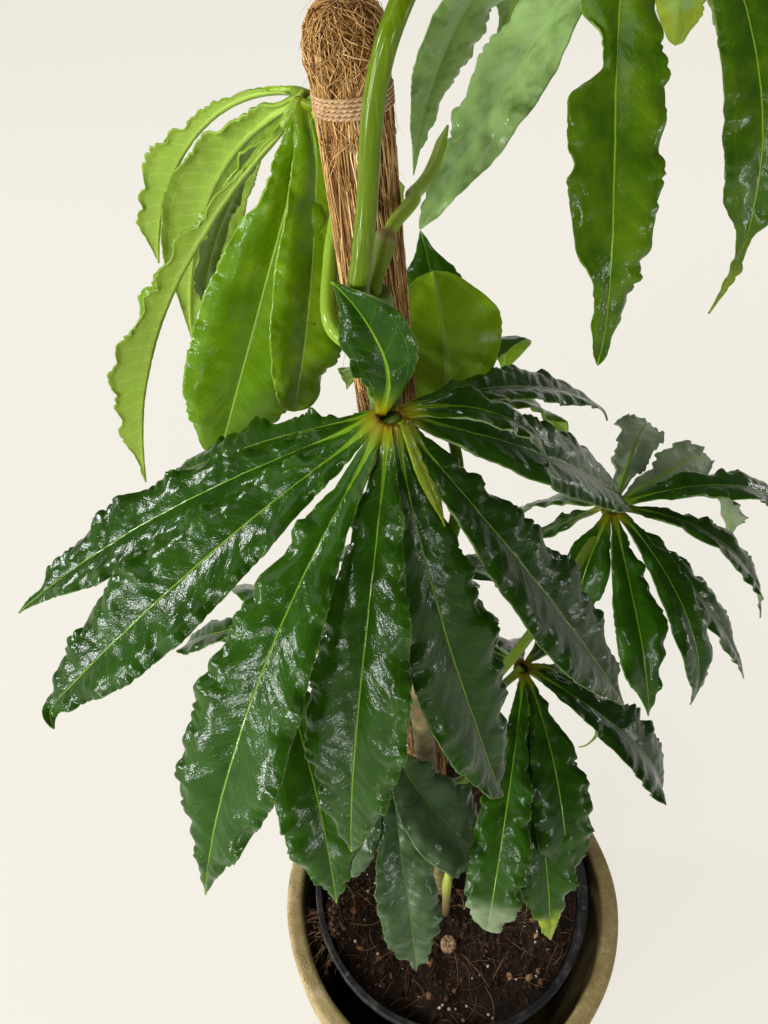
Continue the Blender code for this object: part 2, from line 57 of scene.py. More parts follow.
def addCamera():
    pitch, roll = np.radians([view["pitch"], view["roll"]])
    forward = Vector((0, cos(pitch), -sin(pitch)))
    level = Vector((1, 0, 0))
    upright = Vector((0, sin(pitch), cos(pitch)))
    right = level * cos(roll) + upright * sin(roll)
    top = upright * cos(roll) - level * sin(roll)
    data = bpy.data.cameras.new("camera")
    data.lens = view["lens"]
    data.sensor_width = view["sensor"]
    data.clip_start = view["nearest"]
    camera = addObject("camera", data)
    turned = Matrix((right, top, -forward)).transposed().to_4x4()
    camera.matrix_world = Matrix.Translation(view["place"]) @ turned
    bpy.context.scene.camera = camera


# Stage: a pale floor, a bright room and soft lamps
stage = {
    "floor": (0.915, 0.880, 0.792), "near": (0.885, 0.852, 0.766), "nearFades": (0.5, 2.4), "reach": 6.0,
    "glow": 0.84, "room": (1.0, 0.985, 0.95), "roomStrength": 0.16,
    "sunFrom": (-0.60, -0.40, 0.9), "sunPower": 1.0, "sunWidth": 40,
    "lamps": [
        # place, aims at, width and height in metres, watts
        ((-1.65, -3.00, 1.00), (-0.05, 0, 0.7), (0.20, 0.46), 40),
        ((-3.15, 0.40, 1.60), (-0.05, 0, 0.7), (0.40, 0.46), 56),
        ((0.35, 2.30, 3.30), (0, 0, 0.75), (0.40, 0.24), 26),
        ((-2.35, -1.95, 0.38), (-0.05, 0, 0.7), (0.34, 0.44), 44),
        ((-3.10, -1.20, 0.90), (-0.05, 0, 0.7), (0.36, 0.46), 46),
        ((3.00, -0.45, 0.22), (0.05, 0, 0.7), (0.07, 0.13), 7),
        ((2.70, 1.60, 0.45), (0.05, 0, 0.7), (0.06, 0.11), 4),
        ((-0.33, -1.02, 0.15), (-0.10, 0.10, 0.8), (0.06, 0.17), 1.5),
        ((1.50, -2.50, 0.55), (-0.05, 0, 0.7), (0.13, 0.26), 13),
    ],
}


def addLamp(name, kind, aim, power, place=(0, 0, 0)):
    data = bpy.data.lights.new(name, kind)
    data.energy = power
    lamp = addObject(name, data)
    lamp.location = place
    lamp.rotation_mode = "QUATERNION"
    lamp.rotation_quaternion = aim.to_track_quat("-Z", "Y")
    return data


def addStage():
    mesh = bpy.data.meshes.new("floor")
    reach = stage["reach"]
    corners = [(-reach, -reach, 0), (reach, -reach, 0), (reach, reach, 0), (-reach, reach, 0)]
    mesh.from_pydata(corners, [], [(0, 1, 2, 3)])
    paint = Paint("floorPaint")
    away = paint.node("ShaderNodeVectorMath", {"operation": "LENGTH"}, {0: paint.place()}, 1)
    colour = paint.mix(stage["near"], stage["floor"], paint.fade(away, *stage["nearFades"]))
    paint.finish(paint.mix((0, 0, 0), colour, 1 - stage["glow"]), 0.9, shine=0.1)
    paint.set({"Emission Color": colour, "Emission Strength": stage["glow"]})
    mesh.materials.append(paint.material)
    addObject("floor", mesh)
    sun = addLamp("sun", "SUN", -Vector(stage["sunFrom"]), stage["sunPower"])
    sun.angle = np.radians(stage["sunWidth"])
    for number, (place, target, size, watts) in enumerate(stage["lamps"]):
        lamp = addLamp("lamp%d" % number, "AREA", Vector(target) - Vector(place), watts, place)
        lamp.shape = "RECTANGLE"
        lamp.size, lamp.size_y = size
    world = bpy.data.worlds.new("room")
    world.use_nodes = True
    background = world.node_tree.nodes["Background"]
    background.inputs["Color"].default_value = (*stage["room"], 1)
    background.inputs["Strength"].default_value = stage["roomStrength"]
    bpy.context.scene.world = world
    bpy.context.scene.view_settings.view_transform = "Standard"


def arithmetic(operation, turned=False):
    # A method that adds one Math node; turned puts the other value first
    def method(link, other=0.0):
        return link.paint.maths(operation, *((other, link) if turned else (link, other)))
    return method


class Link:
    # A node's output, with arithmetic that adds Math nodes
    def __init__(self, paint, socket):
        self.paint = paint
        self.socket = socket

    __add__ = __radd__ = arithmetic("ADD")
    __mul__ = __rmul__ = arithmetic("MULTIPLY")
    __sub__ = arithmetic("SUBTRACT")
    __rsub__ = arithmetic("SUBTRACT", turned=True)
    __truediv__ = arithmetic("DIVIDE")
    __abs__ = arithmetic("ABSOLUTE")


class Paint:
    # A material with one Principled shader
    def __init__(self, name):
        self.material = bpy.data.materials.new(name)
        self.material.use_nodes = True
        self.tree = self.material.node_tree
        self.shader = self.tree.nodes["Principled BSDF"]

    def feed(self, socket, value):
        if isinstance(value, Link):
            self.tree.links.new(value.socket, socket)
        elif isinstance(value, tuple) and len(value) == 3 and socket.type == "RGBA":
            socket.default_value = (*value, 1.0)
        else:
            socket.default_value = value

    def node(self, kind, settings, values, output=0):
        made = self.tree.nodes.new(kind)
        for key, value in settings.items():
            if key == "stops":
                ramp = made.color_ramp.elements
                while len(ramp) < len(value):
                    ramp.new(0.5)
                for element, (position, colour) in zip(ramp, value):
                    element.position = position
                    element.color = (*colour, 1.0)
            else:
                setattr(made, key, value)
        for key, value in values.items():
            self.feed(made.inputs[key], value)
        return Link(self, made.outputs[output])

    def set(self, values):
        for key, value in values.items():
            self.feed(self.shader.inputs[key], value)

    def finish(self, colour, rough, relief=None, shine=0.5):
        # The relief is a height, its depth in metres and, where it isn't 1, its strength
        self.set({"Base Color": colour, "Roughness": rough, "Specular IOR Level": shine})
        if relief:
            self.set({"Normal": self.bump(*relief)})

    def maths(self, operation, first, second=0.0):
        return self.node("ShaderNodeMath", {"operation": operation}, {0: first, 1: second})

    def place(self, stretch=(1, 1, 1)):
        own = self.node("ShaderNodeTexCoord", {}, {}, "Object")
        return self.node("ShaderNodeMapping", {}, {"Vector": own, "Scale": stretch})

    def value(self, name):
        return self.node("ShaderNodeAttribute", {"attribute_name": name}, {}, "Fac")

    def noise(self, scale, detail, rough=0.5, place=None):
        values = {"Vector": place or self.place(), "Scale": scale, "Detail": detail, "Roughness": rough}
        return self.node("ShaderNodeTexNoise", {}, values)

    def cells(self, scale, feature="F1"):
        values = {"Vector": self.place(), "Scale": scale}
        return self.node("ShaderNodeTexVoronoi", {"feature": feature}, values, "Distance")

    def fade(self, value, low, high):
        # 0 below low and 1 above high, or turned round where low is above high
        if low > high:
            return 1 - self.fade(value, high, low)
        values = {"Value": value, "From Min": low, "From Max": high}
        return self.node("ShaderNodeMapRange", {"interpolation_type": "SMOOTHSTEP"}, values)

    def ramp(self, value, stops):
        return self.node("ShaderNodeValToRGB", {"stops": stops}, {"Fac": value})

    def mix(self, first, second, share):
        return self.node("ShaderNodeMix", {"data_type": "RGBA"}, {0: share, 6: first, 7: second}, 2)

    def layers(self, colour, *coats):
        # Each coat is a colour and the share of it that covers the coats before it
        for coat, share in coats:
            colour = self.mix(colour, coat, share)
        return colour

    def bump(self, height, distance, strength=1.0):
        return self.node("ShaderNodeBump", {}, {"Height": height, "Distance": distance, "Strength": strength})


# Surfaces worked out as whole arrays

def unit(vectors):
    return vectors / np.maximum(np.linalg.norm(vectors, axis=-1, keepdims=True), 1e-12)


def smoothStep(value, low, high):
    t = np.clip((value - low) / (high - low), 0, 1)
    return t * t * (3 - 2 * t)


def bell(value, width, power=2):
    return exp(-(value / width) ** power)


def around(count):
    return 2 * pi * np.arange(count) / count


def drawer(random, count):
    # Draws a column of random numbers between two bounds, one row for each of count repeats
    return lambda low, high: random.uniform(low, high, count)[:, None]


def smoothRoute(points, steps):
    # Smooth through the points: half of 2b + (c - a)t + (2a - 5b + 4c - d)t^2 + (3b - a - 3c + d)t^3
    points = array(points, float)
    ends = np.vstack([2 * points[0] - points[1], points, 2 * points[-1] - points[-2]])
    a, b, c, d = ends[:-3, None], ends[1:-2, None], ends[2:-1, None], ends[3:, None]
    t = (np.arange(steps) / steps)[:, None]
    route = 2 * b + (c - a) * t + (2 * a - 5 * b + 4 * c - d) * t ** 2 + (3 * b - a - 3 * c + d) * t ** 3
    return np.vstack([0.5 * route.reshape(-1, points.shape[1]), points[-1]])


def waves(random, lengths, count):
    # A sum of sine waves in random directions, as a function of two coordinates, about -1 to 1
    angle = random.uniform(0, 2 * pi, count)
    size = 2 * pi / random.uniform(*lengths, count)
    phase = random.uniform(0, 2 * pi, count)

    def height(x, y):
        total = np.zeros(np.broadcast(x, y).shape)
        for a, k, p in zip(angle, size, phase):
            total = total + sin(k * (x * cos(a) + y * sin(a)) + p)
        return total / count ** 0.5
    return height


def gridFaces(rows, columns, closed=False):
    # Quads of a grid whose points are numbered along its rows; closed joins the last column to the first
    row = np.arange(rows - 1)[:, None]
    column = np.arange(columns if closed else columns - 1)[None, :]
    beside = (column + 1) % columns
    corners = [row * columns + column, (row + 1) * columns + column,
               (row + 1) * columns + beside, row * columns + beside]
    return stack(np.broadcast_arrays(*corners), axis=-1).reshape(-1, 4)


def endFans(sides, last):
    # Triangles that close the first ring and the last, which starts at last; their centres come after it
    turn = np.arange(sides)
    beside = (turn + 1) % sides
    centre = np.full(sides, last + sides)
    start = stack([centre, turn, beside], -1)
    return concatenate([start, stack([centre + 1, last + beside, last + turn], -1)])


def closedSheet(middle, thickness, values):
    # Both faces lie apart from the middle grid by the two thicknesses along its normal, and a rim joins them
    rows, columns = middle.shape[:2]
    normal = unit(np.cross(np.gradient(middle, axis=0), np.gradient(middle, axis=1)))
    above, below = thickness
    points = concatenate([(middle + normal * above[..., None]).reshape(-1, 3),
                          (middle - normal * below[..., None]).reshape(-1, 3)])
    count = rows * columns
    top = gridFaces(rows, columns)
    number = np.arange(count).reshape(rows, columns)
    border = concatenate([number[:-1, 0], number[-1, :-1], number[:0:-1, -1], number[0, :0:-1]])
    ahead = np.roll(border, -1)
    rim = stack([ahead, border, border + count, ahead + count], axis=-1)
    shape = (rows, columns)
    shared = {key: np.tile(np.broadcast_to(value, shape).ravel(), 2) for key, value in values.items()}
    shared["under"] = np.repeat([0.0, 1.0], count)
    return {"points": points, "quads": concatenate([top, top[:, ::-1] + count, rim]),
            "triangles": np.zeros((0, 3), int), "values": shared}


def sweep(paths, radii, sides, values):
    # Rings square to each path, turned from the path's flattest direction, with a fan at each end
    paths = array(paths, float)
    radii = array(radii, float)
    if paths.ndim == 2:
        paths, radii = paths[None], radii[None]
    count, steps = paths.shape[:2]
    if radii.ndim == 2:
        radii = np.repeat(radii[..., None], sides, axis=2)
    along = unit(np.gradient(paths, axis=1))
    spread = paths - paths.mean(axis=1, keepdims=True)
    flattest = np.linalg.eigh(np.einsum("fki,fkj->fij", spread, spread))[1][:, :, 0]
    across = unit(np.cross(along, flattest[:, None, :]))
    other = np.cross(across, along)
    angle = around(sides)[:, None]
    ring = across[:, :, None] * cos(angle) + other[:, :, None] * sin(angle)
    rings = paths[:, :, None] + ring * radii[..., None]
    body = concatenate([rings.reshape(count, -1, 3), paths[:, :1], paths[:, -1:]], axis=1)
    first = np.arange(count)[:, None, None] * (steps * sides + 2)
    given = {}
    for key, value in values.items():
        value = np.broadcast_to(array(value, float), (count, steps))
        rows = np.repeat(value, sides, axis=1)
        given[key] = concatenate([rows, value[:, :1], value[:, -1:]], axis=1).ravel()
    return {"points": body.reshape(-1, 3), "quads": (gridFaces(steps, sides, True) + first).reshape(-1, 4),
            "triangles": (endFans(sides, (steps - 1) * sides) + first).reshape(-1, 3), "values": given}


def lathe(profile, sides, shape, values=None):
    # Each (radius, height) point is a ring; the first and last points are poles on the axis
    profile = array(profile, float)
    angle = around(sides)
    inner = profile[1:-1]
    heights = np.repeat(inner[:, 1:], sides, axis=1)
    rings = stack([inner[:, :1] * cos(angle), inner[:, :1] * sin(angle), heights], -1)
    poles = array([[[0, 0, profile[0, 1]]], [[0, 0, profile[-1, 1]]]])
    points = concatenate([shape(rings).reshape(-1, 3), shape(poles)[:, 0]])
    given = {key: np.full(len(points), float(value)) for key, value in (values or {}).items()}
    return {"points": points, "quads": gridFaces(len(inner), sides, True),
            "triangles": endFans(sides, (len(inner) - 1) * sides), "values": given}


def grown(rings, grow, lift=0, base=0):
    # Rings moved out from the axis, lifted and set on their base
    return stack([rings[..., 0] * grow, rings[..., 1] * grow, rings[..., 2] + lift], -1) + base


def rounded(corners, sizes, steps):
    # Each corner becomes a piece of a parabola that leaves the corner's sides the given distance away
    corners = array(corners, float)
    out = [corners[0]]
    for before, corner, after, size in zip(corners, corners[1:], corners[2:], sizes):
        size = min(size, np.linalg.norm(before - corner) * 0.48, np.linalg.norm(after - corner) * 0.48)
        start = corner + unit(before - corner) * size
        end = corner + unit(after - corner) * size
        t = linspace(0, 1, steps)[:, None]
        out.extend(start * (1 - t) ** 2 + 2 * corner * t * (1 - t) + end * t ** 2)
    return out + [corners[-1]]


def divided(outline, size):
    # Stretches over twice the size are divided evenly, into pieces of about the size
    fine = [outline[0]]
    for start, end in zip(outline, outline[1:]):
        pieces = max(1, int(np.linalg.norm(end - start) / size))
        fine.extend(start + (end - start) * (np.arange(1, pieces + 1) / pieces)[:, None])
    return fine


def crumbs(random, places, sizes, squash, hue):
    # Twelve-cornered lumps, each corner pushed in or out at random, turned at random and squashed.
    # Sizes are given or, like squash and hue, drawn between two bounds.
    golden = (1 + 5 ** 0.5) / 2
    corners = []
    for a in (-1, 1):
        for b in (-golden, golden):
            corners += [(0, a, b), (a, b, 0), (b, 0, a)]
    corners = unit(array(corners, float))
    near = np.linalg.norm(corners[:, None] - corners[None], axis=-1) < 1.2
    faces = []
    for i, j, k in combinations(range(12), 3):
        if near[i, j] and near[j, k] and near[i, k]:
            out = np.dot(np.cross(corners[j] - corners[i], corners[k] - corners[i]), corners[i])
            faces.append((i, j, k) if out > 0 else (i, k, j))
    count = len(places)
    if isinstance(sizes, tuple):
        sizes = random.uniform(*sizes, count)
    squash = random.uniform(*squash, count)
    hue = random.uniform(*hue, count)
    push = random.uniform(0.72, 1.15, (count, 12, 1))
    shape = corners[None] * push * stack([np.ones(count), random.uniform(0.6, 1, count), squash], -1)[:, None]
    turns = np.linalg.qr(random.normal(size=(count, 3, 3)))[0]
    turns *= np.sign(np.linalg.det(turns))[:, None, None]
    points = np.einsum("nij,nkj->nki", turns, shape) * sizes[:, None, None] + places[:, None]
    triangles = (array(faces) + np.arange(count)[:, None, None] * 12).reshape(-1, 3)
    return {"points": points.reshape(-1, 3), "quads": np.zeros((0, 4), int), "triangles": triangles,
            "values": {"hue": np.repeat(hue, 12)}}


def makePiece(name, parts, paint, node):
    offsets = np.cumsum([0] + [len(part["points"]) for part in parts[:-1]])
    points = concatenate([part["points"] for part in parts])
    quads = concatenate([part["quads"] + offset for part, offset in zip(parts, offsets)])
    triangles = concatenate([part["triangles"] + offset for part, offset in zip(parts, offsets)])
    corners = concatenate([quads.ravel(), triangles.ravel()])
    starts = concatenate([np.arange(len(quads)) * 4, len(quads) * 4 + np.arange(len(triangles)) * 3])
    mesh = bpy.data.meshes.new(name)
    mesh.vertices.add(len(points))
    mesh.vertices.foreach_set("co", points.astype(np.float32).ravel())
    mesh.loops.add(len(corners))
    mesh.loops.foreach_set("vertex_index", corners.astype(np.int32))
    mesh.polygons.add(len(starts))
    mesh.polygons.foreach_set("loop_start", starts.astype(np.int32))
    mesh.update(calc_edges=True)
    mesh.validate()
    mesh.shade_smooth()
    for key in parts[0]["values"]:
        attribute = mesh.attributes.new(key, "FLOAT", "POINT")
        given = concatenate([part["values"][key] for part in parts])
        attribute.data.foreach_set("value", given.astype(np.float32))
    mesh.materials.append(paint.material)
    piece = addObject(name, mesh)
    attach(piece, "root")
    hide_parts(node)
    print(name, 2 * len(quads) + len(triangles), "triangles")
    return piece


# The leaves: a leaflet leaves its hub at a turn about the vertical, swings by bend, and goes from its
# rise at the hub to its droop at the tip, in degrees; its length and width are in millimetres. Its age and
# glare pair says how far it has turned, below 0 to pale patches, which on leaf_top's first two leaflets are
# painted glare, and above 0 to brown with age, and from where along it. A bite has its place along the
# leaflet, whether it is in the left half, its depth and its reach.

def leaflet(turn, bend, rise, droop, length, width, roll=0, **ways):
    made = {"turn": turn, "bend": bend, "rise": rise, "droop": droop, "length": length * 0.001,
            "width": width * 0.001, "roll": roll}
    usual = {"tipCurl": 0, "tipTurn": 0, "fold": 11, "flange": 30, "ruffle": 1.0, "taper": 0.45,
             "breadth": 1.0, "peak": 1.35, "bites": (), "aged": (0, 1), "coarse": 1.0}
    return made | usual | ways


def fan(first, last, count, rise, droop, length, width):
    # Leaflets that the photo doesn't show, spread evenly and swayed to either side in turn
    spread = []
    for number in range(count):
        turn = first + (last - first) * number / (count - 1)
        sway = 1 if number % 2 else -1
        spread.append(leaflet(turn, 8 * sway, rise + 6 * sway, droop + 5 * sway, length + 10 * sway, width,
                              coarse=1.7))
    return spread


leafUsual = {"look": "dark", "petiole": 0.0028, "columns": 25}
leaves = {
    "leaf_centre": {
        "node": 0.700, "petiole": 0.0030, "hub": (-0.042, -0.005, 0.797), "step": 0.0014,
        "route": [(-0.031, -0.006, 0.740), (-0.034, -0.010, 0.772)],
        "leaflets": [
            leaflet(46, -13, -12, -45, 183, 25, -10, tipTurn=-50, tipCurl=-25, ruffle=0.6),
            leaflet(16, 1, 7, -74, 94, 14, -12, peak=1.0),
            leaflet(20, 16, -27, -53, 195, 40, -24, taper=0.1, breadth=0.75, ruffle=0.7, aged=(0.5, 0.86)),
            leaflet(-13, 6, -50, -63, 218, 43, -20, taper=0.2, breadth=0.85),
            leaflet(-66, 30, -64, -71, 212, 48, taper=0.0, breadth=0.8, tipTurn=70, aged=(0.9, 0.95)),
            leaflet(-106, -4, -50, -83, 224, 44, taper=0.2, breadth=0.85, aged=(0.7, 0.95)),
            leaflet(-130, -7, -34, -76, 250, 46, 12, tipTurn=-30, aged=(0.8, 0.93)),
            leaflet(-169, 0, -32, -48, 232, 42, 30, taper=0.2, breadth=0.85, tipTurn=115),
            leaflet(175, 5, -25, -41, 226, 32, 25),
            leaflet(144, 8, -30, -40, 188, 26, 17),
            leaflet(-40, 5, -46, -74, 52, 6, 8, ruffle=0.2, aged=(1, -0.5)),
            leaflet(154, 11, 100, 40, 60, 24, 76, breadth=0.95, fold=16, flange=18),
        ]},
    "leaf_left": {
        "look": "pale", "node": 0.812, "hub": (-0.0660, 0.085, 0.881), "step": 0.0015,
        "route": [(-0.0625, 0.021, 0.821), (-0.0625, 0.046, 0.836), (-0.0580, 0.066, 0.858)],
        "leaflets": [
            leaflet(128, 27, -3, -76, 183, 28, fold=80, peak=2.9, taper=0.1, ruffle=0.8),
            leaflet(177, -15, -39, -81, 250, 32, fold=76, flange=20, peak=2.0, taper=0.3, ruffle=0.8,
                    tipTurn=60, aged=(0.8, 0.92)),
            leaflet(134, 6, -21, -83, 226, 38, -50, peak=1.2, breadth=1.3, ruffle=0.7),
            leaflet(183, -12, -69, -69, 196, 54, 96, taper=0, breadth=0.55, peak=1.6, ruffle=0.9,
                    bites=((0.20, False, 0.3, 0.06),)),
            leaflet(-172, 4, -86, -75, 149, 36, 105, breadth=0.45, taper=0, peak=1.5, ruffle=0.8),
            leaflet(150, 8, -34, -80, 150, 26, coarse=1.5),
            leaflet(96, 0, -20, -85, 165, 32, coarse=1.8),
            leaflet(47, 4, -38, -83, 92, 28, coarse=1.8),
        ]},
    "leaf_top": {
        "look": "middle", "node": 0.820, "petiole": 0.0031, "hub": (0.070, 0.159, 0.942), "step": 0.0015,
        "route": [(-0.0516, 0.0050, 0.842), (-0.0500, 0.0040, 0.857), (-0.0475, 0.0060, 0.874),
                  (-0.0440, 0.0056, 0.905), (-0.0357, 0.0084, 0.928), (-0.015, 0.032, 0.953),
                  (0.020, 0.085, 0.972), (0.052, 0.135, 0.964)],
        "leaflets": [
            # Painted glare: pale patches laid over these two leaflets
            leaflet(-141, -10, -43, -49, 166, 37, taper=0.0, breadth=0.8, aged=(-1, -0.2)),
            leaflet(126, 1, -16, -82, 242, 34, 165, aged=(-0.7, -0.2)),
            leaflet(104, 4, -9, -67, 184, 32),
            leaflet(-118, 52, -22, -90, 212, 37, taper=0.2, breadth=0.8, tipTurn=-60,
                    bites=((0.42, False, 0.72, 0.055), (0.60, False, 0.18, 0.02), (0.83, False, 0.42, 0.06))),
            leaflet(-40, 3, -31, -105, 208, 38, -35, aged=(0.6, 0.80),
                    bites=((0.86, False, 0.62, 0.13), (0.86, True, 0.62, 0.13))),
            leaflet(64, -8, -4, -69, 181, 38, taper=0, breadth=0.5, ruffle=1.4, aged=(1, 0.7)),
        ] + fan(-12, 38, 3, -10, -80, 190, 34)},
    "leaf_right": {
        "node": 0.560, "hub": (0.087, 0.078, 0.655), "step": 0.0021, "columns": 19,
        "route": [(0.005, 0.004, 0.582), (0.045, 0.030, 0.622), (0.075, 0.064, 0.646)],
        "leaflets": [
            leaflet(13, 0, 18, -59, 164, 26),
            leaflet(33, 14, 13, -48, 136, 26, 150, taper=0.1, ruffle=1.4),
            leaflet(61, 0, 22, -50, 135, 28, 165, taper=0.1, ruffle=1.4),
            leaflet(25, 3, 8, -84, 178, 26),
            leaflet(-3, -16, -3, -75, 154, 25),
            leaflet(-29, 11, -30, -66, 165, 28),
            leaflet(-56, 3, -5, -92, 147, 26),
            leaflet(-87, 28, -25, -74, 133, 30),
            leaflet(-123, 7, -13, -100, 75, 26),
            leaflet(150, -18, -40, -79, 124, 28),
            leaflet(116, -6, -29, -65, 140, 26, coarse=1.5),
            leaflet(88, 0, -10, -70, 140, 26, coarse=1.5),
        ]},
    "leaf_folded": {
        "look": "paintedBacklight", "node": 0.690, "hub": (-0.0145, 0.0545, 0.7505), "step": 0.0016,
        "route": [(-0.016, 0.012, 0.705), (-0.010, 0.034, 0.730)],
        "leaflets": [
            leaflet(-74, 0, 84, 138, 68, 54, breadth=0.48, peak=1.2, taper=0.2, fold=6, flange=14),
            leaflet(55, 16, 38, -85, 119, 30),
            leaflet(115, -3, -2, -57, 158, 28, coarse=1.6),
            leaflet(85, 0, 10, -70, 150, 30, coarse=1.8),
            leaflet(30, 0, 0, -80, 120, 26, coarse=1.6),
            leaflet(92, 8, 58, 19, 92, 26),
        ]},
    "leaf_low_right": {
        "node": 0.440, "hub": (0.040, 0.040, 0.548), "step": 0.0018, "columns": 23,
        "route": [(0.004, 0.000, 0.480), (0.012, 0.018, 0.515), (0.0228, 0.030, 0.536)],
        "leaflets": [
            leaflet(-100, -8, -3, -84, 188, 36, taper=0, breadth=0.6, peak=2.0, ruffle=1.3,
                    aged=(-0.65, 0.76)),
            leaflet(-73, -5, -12, -89, 165, 38, ruffle=1.4),
            leaflet(-25, 9, -11, -75, 160, 48, taper=0, breadth=0.7, peak=1.9, ruffle=1.5),
            leaflet(-87, 12, -27, -75, 199, 40, taper=0.1, ruffle=1.3, aged=(0.8, 0.80)),
            leaflet(15, -77, -13, -118, 147, 9, aged=(1, 0.6)),
        ] + fan(10, 130, 4, -20, -80, 150, 32)},
    "leaf_low_middle": {
        "look": "grey", "node": 0.455, "hub": (-0.049, -0.002, 0.536), "step": 0.0016,
        "route": [(-0.030, -0.012, 0.482), (-0.046, -0.013, 0.515)],
        "leaflets": [
            leaflet(-86, 8, -26, -88, 180, 38),
            leaflet(-62, 44, -22, -52, 94, 52, taper=0, breadth=0.55, peak=1.8, ruffle=1.4),
            leaflet(-158, -7, -23, -95, 120, 38),
            leaflet(-120, -5, -20, -92, 112, 32, coarse=1.5),
            leaflet(170, 5, -25, -85, 120, 32, coarse=1.5),
        ]},
    "leaf_low_left": {
        "node": 0.580, "hub": (-0.122, 0.040, 0.604), "step": 0.0018, "columns": 23,
        "route": [(-0.055, 0.008, 0.590), (-0.090, 0.025, 0.603)],
        "leaflets": [
            leaflet(-62, -26, -7, -83, 188, 46),
            leaflet(164, -21, -24, -58, 97, 26),
            leaflet(-97, 0, -8, -100, 145, 34),
            leaflet(-128, 0, -20, -85, 125, 28),
        ] + fan(130, 70, 3, -20, -80, 130, 32)},
    "leaf_back": {
        "node": 0.400, "hub": (-0.030, 0.150, 0.520), "step": 0.0017, "columns": 17,
        "route": [(-0.036, 0.010, 0.418), (-0.052, 0.045, 0.450), (-0.045, 0.100, 0.495)],
        "leaflets": fan(-10, 190, 8, -20, -80, 160, 36)},
}
blade = {
    "thickness": 0.0006, "rootHalfWidth": 0.0014, "rootSwell": 0.0009, "keel": 0.0007, "keelWidth": 0.0012,
    "ridge": 0.0003, "ridgeWidth": 0.0007, "collective": 0.76, "flatBelow": 0.008,
    "quilt": 0.0009, "quiltSpacing": 0.0105, "quiltSlant": 0.9, "lobeLength": 0.0058, "lobe": 0.0016,
    "lobeHeight": 0.0015, "waveLength": 0.022, "wave": 0.0013, "waveHeight": 0.0020, "blister": 0.0003,
    # lengths, number of waves and share of the height
    "blisters": [((0.018, 0.050), 7, 1.3), ((0.006, 0.012), 9, 0.7), ((0.0036, 0.0060), 14, 0.24)],
}
hub = {
    # radius and height of the outline, from below over the rim to the bottom of the pit
    "profile": [(0, -0.0046), (0.0034, -0.0044), (0.0054, -0.0028), (0.0060, -0.0012), (0.0056, -0.0001),
                (0.0049, 0.0004), (0.0042, 0.0004), (0.0036, -0.0004), (0.0030, -0.0022), (0, -0.0030)],
    "radius": 0.0060, "pit": 0.0036, "start": 0.0041, "settle": 0.014,
}
leafLooks = {
    "dark": {"deep": (0.0085, 0.034, 0.0002), "light": (0.016, 0.058, 0.001), "rib": (0.13, 0.24, 0.008),
             "under": (0.20, 0.25, 0.145), "stalk": (0.09, 0.14, 0.012), "shine": 0.13, "heart": 1.0,
             "slot": "dark_leaf"},
    "grey": {"deep": (0.028, 0.060, 0.018), "light": (0.070, 0.115, 0.050), "rib": (0.08, 0.15, 0.02),
             "under": (0.11, 0.16, 0.075), "stalk": (0.09, 0.14, 0.015), "shine": 0.11, "heart": 0.7,
             "slot": "dark_leaf"},
    "middle": {"deep": (0.027, 0.078, 0.001), "light": (0.070, 0.140, 0.002), "rib": (0.20, 0.33, 0.02),
               "under": (0.21, 0.33, 0.10), "stalk": (0.078, 0.130, 0.001), "shine": 0.16, "heart": 0.4,
               "slot": "mid_green_leaf"},
    # Painted backlight: brighter greens, the underside brightest, stand in for light shining through a leaf
    # that sits in shade
    "paintedBacklight": {"deep": (0.030, 0.095, 0.002), "light": (0.080, 0.165, 0.004), "rib": (0.24, 0.38, 0.06),
               "under": (0.175, 0.310, 0.003), "stalk": (0.13, 0.20, 0.01), "shine": 0.11, "heart": 0.4,
               "slot": "pale_leaf"},
    # Painted backlight: the pale look's bright yellow-greens stand in for light shining through leaf_left
    # from behind
    "pale": {"deep": (0.080, 0.180, 0.001), "light": (0.145, 0.255, 0.004), "rib": (0.30, 0.43, 0.06),
             "under": (0.175, 0.265, 0.025), "stalk": (0.17, 0.28, 0.02), "shine": 0.16, "heart": 0.25,
             "slot": "pale_leaf"},
}


def midribOf(leaf, each, run, random):
    # The midrib's heading turns and droops evenly. Its base is moved out to the pit's rim, by a share that
    # dies out along it. Its points come with their side and up directions and how far they are moved out.
    late = smoothStep(run, 0.93, 1.0)
    sway = 2.0 * sin(5 * run + random.uniform(0, 6))
    turn = np.radians(each["turn"] + each["bend"] * run + each["tipTurn"] * late + sway)
    pitch = np.radians(each["rise"] + (each["droop"] - each["rise"]) * run + each["tipCurl"] * late)
    roll = np.radians(each["roll"])
    forward = stack([cos(pitch) * cos(turn), cos(pitch) * sin(turn), sin(pitch)], -1)
    level = stack([-sin(turn), cos(turn), 0 * turn], -1)
    side = level * cos(roll) - np.cross(forward, level) * sin(roll)
    travel = (forward[1:] + forward[:-1]) / 2 * each["length"] / (len(run) - 1)
    aside = hub["start"] * bell(run * each["length"], hub["settle"])
    aside = aside[:, None]
    midrib = array(leaf["hub"]) + np.vstack([np.zeros(3), np.cumsum(travel, axis=0)])
    midrib = midrib + array([cos(turn[0]), sin(turn[0]), 0]) * aside
    return midrib, side, np.cross(forward, side), aside


